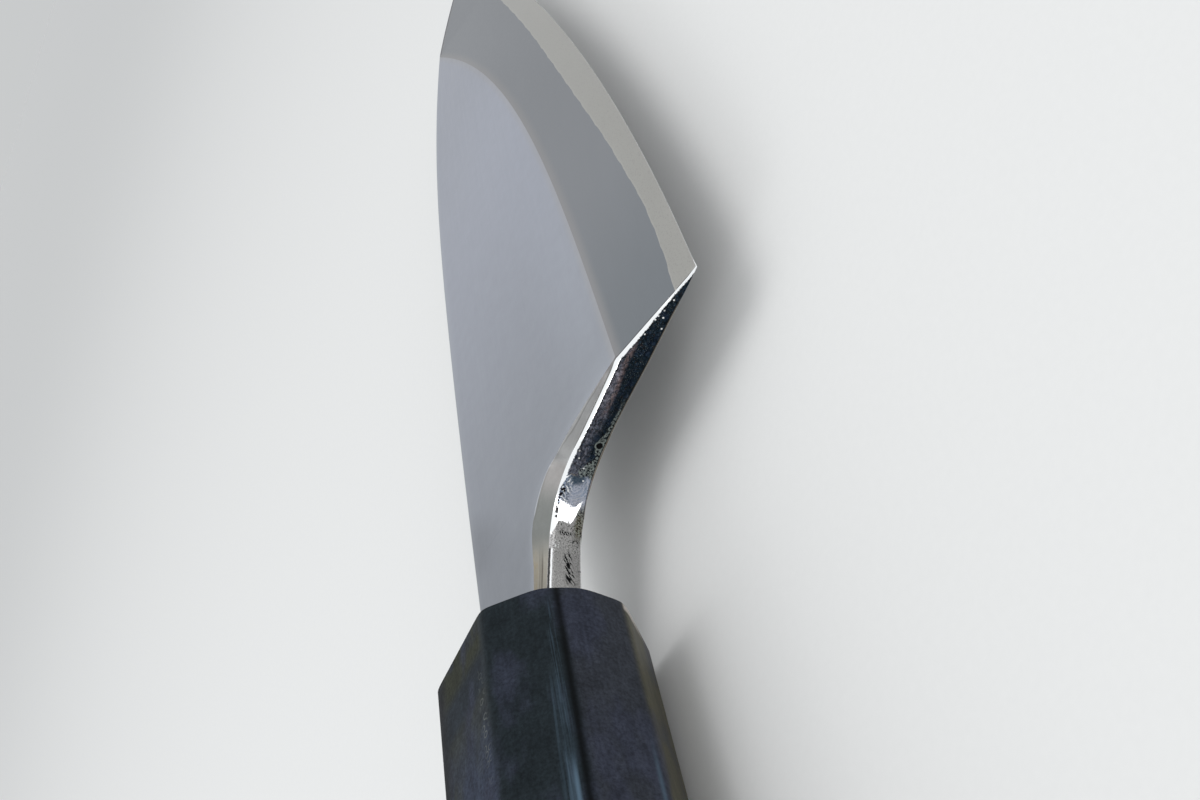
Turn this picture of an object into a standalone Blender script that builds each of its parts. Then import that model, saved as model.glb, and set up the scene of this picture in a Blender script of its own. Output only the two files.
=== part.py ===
"""Single-bevel deba knife, right-handed, at its real size in metres with +Z up.

The knife lies on its side with its flat back down. Shapes are written in the handle's axes: X runs
along the handle towards the tip, Y towards the spine, Z out of the bevelled face, and zero is where
the handle's axis meets its front face. One empty then sets the whole knife on the origin, centred
over its box. The blade is soft iron forge-welded onto a plate of edge steel, and its tang is held in
an eight-sided handle: a horn ferrule and a wooden grip joined by a slotted dowel, with a seal of
resin round the neck.
"""

import bmesh
import bpy
import numpy as np

# Blade outline, seen square to the flat back
BLADE_LENGTH = 0.1798
HEEL_DISTANCE = 0.0258
BLADE_HEIGHT = 0.0532
SPINE_LEVEL = 0.0076
TIP_DROP = 0.0185
SPINE_CURVE_START = 0.0647
SPINE_CURVE_POWER = 3.5
EDGE_CURVE_START = -0.0040
EDGE_CURVE_POWER = 2.0
TIP_LAND = 0.0005

# Ridge line between the flat flank and the bevel
BEVEL_HEIGHT = 0.0150
RIDGE_FIRST_RISE = 0.0088
RIDGE_END_BEFORE_TIP = 0.0328

# Heel face and neck
HEEL_LEAN = 0.0011
NECK_HEIGHT = 0.0110
NECK_SAG = 0.0057
NECK_BEND = 0.0024
NECK_FACE = 0.0050
CHOIL_DIP = 0.0008
CHAMFER_INSET = 0.0003

# Thickness, measured up from the flat back
BACK_LEVEL = -0.0037
SPINE_THICKNESS = 0.0077
RIDGE_END_THICKNESS = 0.00445
SPINE_TAPER_POWER = 2.0
BEVEL_THICKNESS = 0.0041
EDGE_LAND = 0.0001
SPINE_EASE = 0.0004

# Edge steel and its hollow-ground back
STEEL_THICKNESS = 0.0010
STEEL_START = 0.0120
IRON_END_WIDTH = 0.0012
HOLLOW_DEPTH = 0.00035
HOLLOW_EDGE_RIM = 0.0035
HOLLOW_SPINE_RIM = 0.0060
HOLLOW_AFTER_HEEL = 0.0120
HOLLOW_BEFORE_TIP = 0.0250
HOLLOW_RIM_SHARE = 0.3

# Tang
NECK_DEPTH = 0.0050
SHOULDER_LENGTH = 0.0035
TANG_LENGTH = 0.0950
TANG_ROOT_WIDTH = 0.0084
TANG_END_WIDTH = 0.0046
TANG_ROOT_THICKNESS = 0.0042
TANG_END_THICKNESS = 0.0030
TANG_SIDE_OFFSET = 0.0008
TANG_LEVEL = -0.0007

# Handle
HANDLE_LENGTH = 0.1350
HANDLE_WIDTH = 0.0270
HANDLE_DEPTH = 0.0230
HANDLE_CORNER = 0.0070
HANDLE_FULL_CORNER = 0.0062
HANDLE_BUTT_WIDTH = 0.0308
FERRULE_LENGTH = 0.0340
RIDGE_ROUNDING = 0.0012
FRONT_ROUNDING = 0.0003
BUTT_ROUNDING = 0.0016
DOWEL_DIAMETER = 0.0150
DOWEL_LENGTH = 0.0500
SEAL_WALL = 0.0015
SEAL_DEPTH = 0.0034

# Clearances between pieces
FIT_GAP = 0.0003
WELD_GAP = 0.0003

# How finely the shapes are cut into faces
CHOIL_STEPS = 14
HEEL_STEPS = 4
BLADE_STEPS = 30
HOLLOW_STEPS = 5
ROUNDING_STEPS = 3
DOWEL_SIDES = 32
STEP_CROWDING = 1.3
END_SEARCH_STEPS = 400
SHARP_ANGLE_DEG = 28
CUT_MARGIN = 0.002
WELD_DISTANCE = 1e-6

HEEL_X = HEEL_DISTANCE
TIP_X = HEEL_DISTANCE + BLADE_LENGTH
RIDGE_START_X = HEEL_X - HEEL_LEAN
RIDGE_END_X = TIP_X - RIDGE_END_BEFORE_TIP
HEEL_LEVEL = SPINE_LEVEL - BLADE_HEIGHT
TIP_LEVEL = SPINE_LEVEL - TIP_DROP
RIDGE_START_LEVEL = HEEL_LEVEL + BEVEL_HEIGHT
NECK_FOOT_LEVEL = SPINE_LEVEL - NECK_HEIGHT
IRON_BOTTOM = STEEL_THICKNESS + WELD_GAP


# Lines of the blade's outline

def spine_line(x):
    """Level of the spine: straight, then falling with a power of the way to the tip."""
    way = np.clip((x - SPINE_CURVE_START) / (TIP_X - SPINE_CURVE_START), 0, None)
    return SPINE_LEVEL - TIP_DROP * way ** SPINE_CURVE_POWER


def edge_line(x):
    """Level of the cutting edge: one curve of a steady power through the heel and the tip."""
    reach = TIP_X - EDGE_CURVE_START
    way = np.clip((x - EDGE_CURVE_START) / reach, 0, None) ** EDGE_CURVE_POWER
    heel_way = ((HEEL_X - EDGE_CURVE_START) / reach) ** EDGE_CURVE_POWER
    return HEEL_LEVEL + (TIP_LEVEL - HEEL_LEVEL) * (way - heel_way) / (1 - heel_way)


def ridge_line(x):
    """Level of the ridge: a straight rise and a cubic one, meeting the spine at the ridge's end."""
    way = np.clip((x - RIDGE_START_X) / (RIDGE_END_X - RIDGE_START_X), 0, 1)
    cubic = spine_line(RIDGE_END_X) - RIDGE_START_LEVEL - RIDGE_FIRST_RISE
    level = RIDGE_START_LEVEL + RIDGE_FIRST_RISE * way + cubic * way ** 3
    return np.where(x > RIDGE_END_X, spine_line(x), level)


def choil_outline():
    """Points from the heel up the heel's face, round the choil and along the neck to the handle."""
    heel = np.array([HEEL_X, edge_line(HEEL_X)])
    corner = np.array([RIDGE_START_X, RIDGE_START_LEVEL])
    foot = np.array([0.0, NECK_FOOT_LEVEL])
    pull = np.array([RIDGE_START_X, NECK_FOOT_LEVEL - NECK_SAG])
    sag = np.array([RIDGE_START_X - NECK_BEND, NECK_FOOT_LEVEL - NECK_SAG])
    face = heel + (corner - heel) * np.linspace(0, 1, HEEL_STEPS + 1)[:-1, None]
    t = np.linspace(0, 1, CHOIL_STEPS + 1)[:, None]
    bend = (1 - t) ** 3 * corner + 3 * t * (1 - t) ** 2 * pull + 3 * t ** 2 * (1 - t) * sag + t ** 3 * foot
    return np.vstack([face, bend])


def level_on(outline, x):
    """Level of an outline that runs back towards the handle, read at the stations x."""
    return np.interp(x, outline[::-1, 0], outline[::-1, 1])


# Thickness of the blade above its flat back

def spine_thickness(x):
    """Taper that starts slowly at the handle, then from the ridge's end the bevel's own height."""
    way = np.clip(x / RIDGE_END_X, 0, 1) ** SPINE_TAPER_POWER
    taper = SPINE_THICKNESS + (RIDGE_END_THICKNESS - SPINE_THICKNESS) * way
    left = (spine_line(x) - edge_line(x)) / (spine_line(RIDGE_END_X) - edge_line(RIDGE_END_X))
    return np.where(x > RIDGE_END_X, RIDGE_END_THICKNESS * left, taper)


def ridge_thickness(x):
    """Thickness under the ridge line."""
    way = np.clip((x - RIDGE_START_X) / (RIDGE_END_X - RIDGE_START_X), 0, 1)
    steady = BEVEL_THICKNESS + (RIDGE_END_THICKNESS - BEVEL_THICKNESS) * way
    return np.where(x > RIDGE_END_X, spine_thickness(x), steady)


def bevel_slope(x):
    """Rise of the bevel for each metre from the edge towards the ridge."""
    return ridge_thickness(x) / (ridge_line(x) - edge_line(x))


def flank_height(x, y):
    """Height of the flat flank, which is straight from the ridge line to the spine."""
    way = (y - ridge_line(x)) / np.maximum(spine_line(x) - ridge_line(x), EDGE_LAND)
    return ridge_thickness(x) + (spine_thickness(x) - ridge_thickness(x)) * np.clip(way, 0, 1)


def choil_height(y):
    """Width of the polished heel face: the bevel's height, then a slight waist up to the neck."""
    way = np.clip((y - RIDGE_START_LEVEL) / (NECK_FOOT_LEVEL - RIDGE_START_LEVEL), 0, 1)
    return BEVEL_THICKNESS + (NECK_FACE - BEVEL_THICKNESS) * way - CHOIL_DIP * np.sin(np.pi * way)


# Mesh helpers

def new_object(name, mesh, material=None):
    """Puts a mesh into the scene as a named object."""
    body = bpy.data.objects.new(name, mesh)
    bpy.context.collection.objects.link(body)
    if material:
        mesh.materials.append(material)
    return body


def loft(name, rings, material):
    """Closed body through rings of equal count, which run clockwise as seen from the tip."""
    shape = bmesh.new()
    loops = [[shape.verts.new(point) for point in ring] for ring in rings]
    for near, far in zip(loops[:-1], loops[1:]):
        for k in range(len(near)):
            shape.faces.new((near[k], near[k - 1], far[k - 1], far[k]))
    shape.faces.new(loops[0])
    shape.faces.new(reversed(loops[-1]))
    bmesh.ops.remove_doubles(shape, verts=shape.verts, dist=WELD_DISTANCE)
    bmesh.ops.recalc_face_normals(shape, faces=shape.faces)
    mesh = bpy.data.meshes.new(name)
    shape.to_mesh(mesh)
    shape.free()
    return new_object(name, mesh, material)


def surface(name, colour, roughness, metallic):
    """Principled material with one colour, roughness and metallic value."""
    made = bpy.data.materials.new(name)
    made.use_nodes = True
    shader = made.node_tree.nodes["Principled BSDF"]
    shader.inputs["Base Color"].default_value = (*colour, 1)
    shader.inputs["Roughness"].default_value = roughness
    shader.inputs["Metallic"].default_value = metallic
    return made


def box_mesh(name, low, high):
    """Mesh of a box between two corners."""
    shape = bmesh.new()
    bmesh.ops.create_cube(shape, size=1)
    for vert in shape.verts:
        vert.co = [a + (b - a) * (c + 0.5) for a, b, c in zip(low, high, vert.co)]
    mesh = bpy.data.meshes.new(name)
    shape.to_mesh(mesh)
    shape.free()
    return mesh


def round_mesh(name, radius, rear, front):
    """Mesh of a rod along X."""
    angle = 2 * np.pi * np.arange(DOWEL_SIDES) / DOWEL_SIDES
    shape = bmesh.new()
    ends = []
    for x in (rear, front):
        ends.append([shape.verts.new((x, radius * np.cos(a), radius * np.sin(a))) for a in angle])
    for k in range(DOWEL_SIDES):
        shape.faces.new((ends[0][k], ends[0][k - 1], ends[1][k - 1], ends[1][k]))
    shape.faces.new(ends[0])
    shape.faces.new(reversed(ends[1]))
    bmesh.ops.recalc_face_normals(shape, faces=shape.faces)
    mesh = bpy.data.meshes.new(name)
    shape.to_mesh(mesh)
    shape.free()
    return mesh


def cut(body, name, mesh):
    """Takes the shape of a hidden cutter out of a body."""
    cutter = new_object(name, mesh)
    cutter.hide_render = True
    cutter.display_type = "WIRE"
    cutter.parent = body.parent
    step = body.modifiers.new(name, "BOOLEAN")
    step.operation = "DIFFERENCE"
    step.solver = "EXACT"
    step.object = cutter


# Blade

def ring(x, low, bottom, low_top, ridge, ridge_top, spine, spine_top):
    """Six-cornered section of the iron at station x, with both upper corners of the spine eased."""
    flat = BACK_LEVEL
    return [
        (x, low, flat + bottom),
        (x, low, flat + low_top),
        (x, ridge, flat + ridge_top),
        (x, spine - SPINE_EASE, flat + spine_top),
        (x, spine, flat + spine_top - SPINE_EASE),
        (x, spine, flat + bottom)]


def tang_ring(x, width, thickness, centre):
    """Section of the tang, in the same six corners."""
    level = TANG_LEVEL - BACK_LEVEL
    top = level + thickness / 2
    low = centre - width / 2
    return ring(x, low, level - thickness / 2, top - SPINE_EASE, low + SPINE_EASE, top, centre + width / 2, top)


def feather_line(x):
    """Level where the bevel comes down to the underside of the iron."""
    return edge_line(x) + IRON_BOTTOM / bevel_slope(x)


def iron_end():
    """Station near the tip where the iron has thinned to a narrow end."""
    x = np.linspace(RIDGE_END_X, TIP_X - TIP_LAND, END_SEARCH_STEPS)
    width = spine_line(x) - feather_line(x)
    return np.interp(-IRON_END_WIDTH, -width, x)


def blade_stations(end):
    """Stations along the blade, closer together towards the tip."""
    way = np.linspace(0, 1, BLADE_STEPS + 1)
    return HEEL_X + (end - HEEL_X) * (1 - (1 - way) ** STEP_CROWDING)


def iron_section(x, bottom):
    """Section of the iron between the handle and the tip."""
    choil = level_on(choil_outline(), x)
    spine = spine_line(x)
    spine_top = spine_thickness(x)
    if x < RIDGE_START_X:
        ridge = level_on(choil_outline(), x - CHAMFER_INSET) + CHAMFER_INSET
        return ring(x, choil, bottom, choil_height(choil), ridge, flank_height(x, ridge), spine, spine_top)
    low = max(choil, feather_line(x)) if x < HEEL_X else feather_line(x)
    low_top = max(bevel_slope(x) * (low - edge_line(x)), bottom + EDGE_LAND)
    if x >= RIDGE_END_X:
        ridge = spine - SPINE_EASE - EDGE_LAND
        spine_top = bevel_slope(x) * (spine - SPINE_EASE - edge_line(x))
        return ring(x, low, bottom, low_top, ridge, spine_top, spine, spine_top)
    ridge = min(ridge_line(x), spine - SPINE_EASE - EDGE_LAND)
    return ring(x, low, bottom, low_top, ridge, ridge_thickness(x), spine, spine_top)


def iron_body(material):
    """Soft iron of the blade in one piece with its neck and tang."""
    end = iron_end()
    neck = iron_section(0.0, 0.0)
    root_x = -NECK_DEPTH - SHOULDER_LENGTH
    rings = [
        tang_ring(-TANG_LENGTH, TANG_END_WIDTH, TANG_END_THICKNESS, 0.0),
        tang_ring(root_x, TANG_ROOT_WIDTH, TANG_ROOT_THICKNESS, TANG_SIDE_OFFSET),
        [(-NECK_DEPTH, y, z) for _, y, z in neck],
        neck]
    choil = choil_outline()[::-1, 0]
    weld_x = STEEL_START - FIT_GAP
    behind = [x for x in choil if 0 < x < weld_x - FIT_GAP]
    rings += [iron_section(x, 0.0) for x in behind + [weld_x - FIT_GAP]]
    ahead = [x for x in choil if weld_x < x < HEEL_X]
    rings += [iron_section(x, IRON_BOTTOM) for x in [weld_x] + ahead]
    rings += [iron_section(x, IRON_BOTTOM) for x in blade_stations(end)]
    return loft("iron_blade_and_tang", rings, material)


def hollow_height(x, way):
    """Depth of the hollow back: a parabola across, faded out towards both ends."""
    start = HEEL_X + HOLLOW_AFTER_HEEL
    stop = TIP_X - HOLLOW_BEFORE_TIP
    along = np.clip((x - start) / (stop - start), 0, 1)
    return HOLLOW_DEPTH * 4 * way * (1 - way) * (1 - (2 * along - 1) ** 4)


def steel_section(x):
    """Section of the edge steel: a thin plate with its bevelled strip and its hollow back."""
    low = level_on(choil_outline(), x) if x < HEEL_X else edge_line(x)
    spine = spine_line(x)
    flat = BACK_LEVEL
    if x < RIDGE_START_X:
        slope = STEEL_THICKNESS / EDGE_LAND
        base = low
    else:
        slope = bevel_slope(x)
        base = edge_line(x)
    low_top = min(max(slope * (low - base), EDGE_LAND), STEEL_THICKNESS)
    weld = min(max(base + STEEL_THICKNESS / slope, low + EDGE_LAND), spine - EDGE_LAND)
    weld_top = max(min(slope * (weld - base), STEEL_THICKNESS), low_top)
    corners = [
        (x, low, flat),
        (x, low, flat + low_top),
        (x, weld, flat + weld_top),
        (x, spine, flat + weld_top),
        (x, spine, flat)]
    span = spine - low
    near = low + min(HOLLOW_EDGE_RIM, HOLLOW_RIM_SHARE * span)
    far = spine - min(HOLLOW_SPINE_RIM, HOLLOW_RIM_SHARE * span)
    for way in np.linspace(1, 0, HOLLOW_STEPS + 2):
        corners.append((x, near + (far - near) * way, flat + hollow_height(x, way)))
    return corners


def edge_steel(material):
    """Plate of edge steel over the whole back, showing as a strip beside the edge."""
    choil = choil_outline()[::-1, 0]
    stations = [STEEL_START] + [x for x in choil if STEEL_START < x < HEEL_X]
    stations += list(blade_stations(TIP_X - TIP_LAND))
    return loft("edge_steel", [steel_section(x) for x in stations], material)


# Handle

def handle_growth(x):
    """Size of the handle's section at station x against its size at the front."""
    return 1 + (HANDLE_BUTT_WIDTH / HANDLE_WIDTH - 1) * -x / HANDLE_LENGTH


def handle_ring(x):
    """Eight corners of the handle's section at station x, one of them fuller towards the front."""
    side = HANDLE_WIDTH / 2
    face = HANDLE_DEPTH / 2
    inner_side = side - HANDLE_CORNER
    inner_face = face - HANDLE_CORNER
    full = max(0.0, 1 + x / FERRULE_LENGTH)
    full_corner = HANDLE_CORNER + (HANDLE_FULL_CORNER - HANDLE_CORNER) * full
    full_side = side - full_corner
    full_face = face - full_corner
    corners = [
        (inner_side, face), (side, inner_face), (side, -inner_face), (inner_side, -face),
        (-inner_side, -face), (-side, -inner_face), (-side, full_face), (-full_side, face)]
    grown = handle_growth(x)
    return [(x, grown * y, grown * z) for y, z in corners]


def round_off(body, pick, width):
    """Rounds the edges of a body that pick chooses by their two end points."""
    shape = bmesh.new()
    shape.from_mesh(body.data)
    edges = [edge for edge in shape.edges if pick(edge.verts[0].co, edge.verts[1].co)]
    bmesh.ops.bevel(
        shape, geom=edges, offset=width, offset_type="OFFSET", segments=ROUNDING_STEPS, profile=0.5,
        affect="EDGES")
    shape.to_mesh(body.data)
    shape.free()


def handle_piece(name, front, rear, material):
    """Eight-sided piece of the handle between two stations, with its long ridges rounded."""
    body = loft(name, [handle_ring(rear), handle_ring(front)], material)
    middle = (front + rear) / 2
    round_off(body, lambda a, b: (a.x - middle) * (b.x - middle) < 0, RIDGE_ROUNDING)
    return body


def shade(body):
    """Smooth shading, with the corners kept sharp."""
    body.data.shade_smooth()
    body.data.set_sharp_from_angle(angle=np.radians(SHARP_ANGLE_DEG))


def neck_box(name, margin, rear, front):
    """Box round the neck's section, wider by a margin all round."""
    low = (rear, NECK_FOOT_LEVEL - margin, BACK_LEVEL - margin)
    high = (front, SPINE_LEVEL + margin, BACK_LEVEL + SPINE_THICKNESS + margin)
    return box_mesh(name, low, high)


def tang_slot(name, rear, front, margin):
    """Box round the widest part of the tang between two stations."""
    root_x = -NECK_DEPTH - SHOULDER_LENGTH
    way = np.clip((root_x - front) / (TANG_LENGTH + root_x), 0, 1)
    width = TANG_ROOT_WIDTH + (TANG_END_WIDTH - TANG_ROOT_WIDTH) * way
    depth = TANG_ROOT_THICKNESS + (TANG_END_THICKNESS - TANG_ROOT_THICKNESS) * way
    rear_way = np.clip((root_x - rear) / (TANG_LENGTH + root_x), 0, 1)
    lowest = min(TANG_SIDE_OFFSET * (1 - way) - width / 2, TANG_SIDE_OFFSET * (1 - rear_way) - width / 2)
    low = (rear, lowest - margin, TANG_LEVEL - depth / 2 - margin)
    high = (front, TANG_SIDE_OFFSET * (1 - way) + width / 2 + margin, TANG_LEVEL + depth / 2 + margin)
    return box_mesh(name, low, high)


def horn_ferrule(parent, material):
    """Front piece of the handle, bored for the dowel and cut through for the neck and its seal."""
    body = handle_piece("horn_ferrule", 0.0, -FERRULE_LENGTH, material)
    round_off(body, lambda a, b: abs(a.x) + abs(b.x) < WELD_DISTANCE, FRONT_ROUNDING)
    body.parent = parent
    dowel_front = dowel_start()
    bore = DOWEL_DIAMETER / 2 + FIT_GAP
    cut(body, "cut_dowel_bore", round_mesh("cut_dowel_bore", bore, -FERRULE_LENGTH - CUT_MARGIN, dowel_front))
    cut(body, "cut_neck", neck_box("cut_neck", FIT_GAP, dowel_front - CUT_MARGIN, CUT_MARGIN))
    pocket = SEAL_WALL + FIT_GAP
    seat = -SEAL_DEPTH - 2 * FIT_GAP
    cut(body, "cut_seal_pocket", neck_box("cut_seal_pocket", pocket, seat, CUT_MARGIN))
    return body


def dowel_start():
    """Station of the blind end of the ferrule's bore, just behind the tang's shoulder."""
    return -NECK_DEPTH - SHOULDER_LENGTH - 2 * FIT_GAP


def grip(parent, material):
    """Rear piece of the handle, bored for the dowel and slotted for the tang's end."""
    front = -FERRULE_LENGTH - FIT_GAP
    body = handle_piece("grip", front, -HANDLE_LENGTH, material)
    near_butt = WELD_DISTANCE - HANDLE_LENGTH
    round_off(body, lambda a, b: a.x < near_butt and b.x < near_butt, BUTT_ROUNDING)
    body.parent = parent
    bore_end = dowel_start() - DOWEL_LENGTH - 2 * FIT_GAP
    bore = DOWEL_DIAMETER / 2 + FIT_GAP
    cut(body, "cut_grip_bore", round_mesh("cut_grip_bore", bore, bore_end, front + CUT_MARGIN))
    slot_end = -TANG_LENGTH - 2 * FIT_GAP
    cut(body, "cut_grip_slot", tang_slot("cut_grip_slot", slot_end, bore_end + CUT_MARGIN, FIT_GAP))
    return body


def handle_dowel(parent, material):
    """Round dowel that joins ferrule and grip, slotted from end to end for the tang."""
    front = dowel_start() - FIT_GAP
    rear = front - DOWEL_LENGTH
    body = new_object("handle_dowel", round_mesh("handle_dowel", DOWEL_DIAMETER / 2, rear, front), material)
    body.parent = parent
    slot = tang_slot("cut_dowel_slot", rear - CUT_MARGIN, front + CUT_MARGIN, FIT_GAP)
    cut(body, "cut_dowel_slot", slot)
    return body


def tang_seal(parent, material):
    """Resin seal in the ferrule's mouth, filling the pocket round the neck."""
    front = -FIT_GAP
    body = new_object("tang_seal", neck_box("tang_seal", SEAL_WALL, front - SEAL_DEPTH, front), material)
    body.parent = parent
    through = neck_box("cut_seal", FIT_GAP, front - SEAL_DEPTH - CUT_MARGIN, front + CUT_MARGIN)
    cut(body, "cut_seal", through)
    return body


def clear_scene():
    """Removes whatever the scene holds."""
    for old in list(bpy.data.objects):
        bpy.data.objects.remove(old, do_unlink=True)


def build_knife():
    """Makes every piece and sets the knife on the origin."""
    clear_scene()
    butt = handle_growth(-HANDLE_LENGTH)
    low_side = edge_line(HEEL_X)
    high_side = HANDLE_WIDTH / 2 * butt
    reference = bpy.data.objects.new("handle_front_centre", None)
    bpy.context.collection.objects.link(reference)
    reference.location = (
        (HANDLE_LENGTH - TIP_X + TIP_LAND) / 2,
        -(low_side + high_side) / 2,
        HANDLE_DEPTH / 2 * butt)
    iron = iron_body(surface("soft_iron", (0.42, 0.44, 0.47), 0.35, 1.0))
    iron.parent = reference
    steel = edge_steel(surface("edge_steel", (0.56, 0.55, 0.52), 0.30, 1.0))
    steel.parent = reference
    horn = horn_ferrule(reference, surface("black_horn", (0.016, 0.018, 0.020), 0.30, 0.0))
    wood = grip(reference, surface("dark_wood", (0.024, 0.018, 0.015), 0.45, 0.0))
    peg = handle_dowel(reference, surface("dowel_wood", (0.50, 0.34, 0.19), 0.60, 0.0))
    resin = tang_seal(reference, surface("black_resin", (0.010, 0.010, 0.011), 0.25, 0.0))
    for piece in (iron, steel, horn, wood, peg, resin):
        shade(piece)


build_knife()
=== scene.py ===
"""Right-handed deba knife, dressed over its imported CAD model.

Shapes are worked out in the handle's axes, in metres: X runs along the handle towards the tip, Y towards
the spine, Z out of the bevelled face, and zero is where the handle's axis meets the ferrule's front face.
Every mesh is then moved by the same step into the frame, where the CAD ferrule says that point is.
"""

import logging
import re
from collections.abc import Callable
from dataclasses import dataclass, field
from enum import IntEnum
from typing import ClassVar

import bmesh
import bpy
import numpy as np
from mathutils import Matrix, Vector


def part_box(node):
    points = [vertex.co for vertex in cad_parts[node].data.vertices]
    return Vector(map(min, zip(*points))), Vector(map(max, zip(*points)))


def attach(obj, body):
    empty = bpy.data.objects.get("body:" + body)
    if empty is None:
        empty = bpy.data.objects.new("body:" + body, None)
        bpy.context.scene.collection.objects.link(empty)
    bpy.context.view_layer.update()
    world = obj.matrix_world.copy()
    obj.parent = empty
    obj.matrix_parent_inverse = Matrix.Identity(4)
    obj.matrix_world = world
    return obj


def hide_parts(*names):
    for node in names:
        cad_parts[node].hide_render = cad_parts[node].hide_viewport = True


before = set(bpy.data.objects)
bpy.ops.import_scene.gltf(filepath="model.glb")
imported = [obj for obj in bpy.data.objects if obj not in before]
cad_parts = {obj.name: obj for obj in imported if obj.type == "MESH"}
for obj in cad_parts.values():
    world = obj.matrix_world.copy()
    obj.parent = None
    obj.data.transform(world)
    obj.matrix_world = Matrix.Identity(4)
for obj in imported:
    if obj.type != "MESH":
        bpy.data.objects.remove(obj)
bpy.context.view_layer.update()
LOG = logging.getLogger("deba")

MM = 0.001
Colour = tuple[float, float, float]
Spot = tuple[float, float]
Array = np.ndarray
Socket = bpy.types.NodeSocket
Material = bpy.types.Material
Piece = bpy.types.Object


class Side(IntEnum):
    """Surfaces of the blade that get finishes of their own."""

    HEEL_FACE = 0
    SHOULDER = 1
    BEVEL = 2
    FLANK = 3
    PLAIN = 4
    BACK = 5


def arithmetic(operation: str, swapped: bool = False) -> Callable[["Value", "Value | float"], "Value"]:
    """Makes a method of Value.

    Args:
        operation: Math node's operation.
        swapped: Whether the other number comes first.

    Returns:
        The method, which adds the node and returns its value.
    """

    def method(self: "Value", other: "Value | float") -> "Value":
        """Adds the Math node."""
        first, second = (other, self) if swapped else (self, other)
        return self.graph.math(operation, first, second)

    return method


class Value:
    """A number that varies over a surface: arithmetic on it adds Math nodes to its graph."""

    def __init__(self, graph: "Graph", socket: Socket) -> None:
        """Wraps one output socket of a graph."""
        self.graph = graph
        self.socket = socket

    __add__ = __radd__ = arithmetic("ADD")
    __sub__ = arithmetic("SUBTRACT")
    __rsub__ = arithmetic("SUBTRACT", swapped=True)
    __mul__ = __rmul__ = arithmetic("MULTIPLY")
    __truediv__ = arithmetic("DIVIDE")
    __pow__ = arithmetic("POWER")
    top = arithmetic("MAXIMUM")
    least = arithmetic("MINIMUM")

    def rise(self, low: float, high: float) -> "Value":
        """Smooth step.

        Args:
            low: Value at which the step is still 0.
            high: Value at which the step has reached 1; below low, the step falls instead.

        Returns:
            A value from 0 to 1.
        """
        start, stop, first, last = (low, high, 0.0, 1.0) if low < high else (high, low, 1.0, 0.0)
        made = self.graph.node(
            "ShaderNodeMapRange",
            {"interpolation_type": "SMOOTHSTEP"},
            {"Value": self, "From Min": start, "From Max": stop, "To Min": first, "To Max": last})
        return Value(self.graph, made.outputs["Result"])

    def band(self, centre: float, reach: float) -> "Value":
        """Smooth hump.

        Args:
            centre: Value at the middle of the hump.
            reach: Distance from the middle at which the hump has died out.

        Returns:
            A value that is 1 at the centre and 0 past the reach.
        """
        return self.graph.math("ABSOLUTE", self - centre).rise(reach, 0.0)

    def over(self, softness: float) -> "Value":
        """Smooth step round zero, as soft on both sides: 1 where the value is above it."""
        return self.rise(-softness, softness)


Socketable = "Value | float | tuple | Socket"
Looks = tuple[Socketable, ...]


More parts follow.
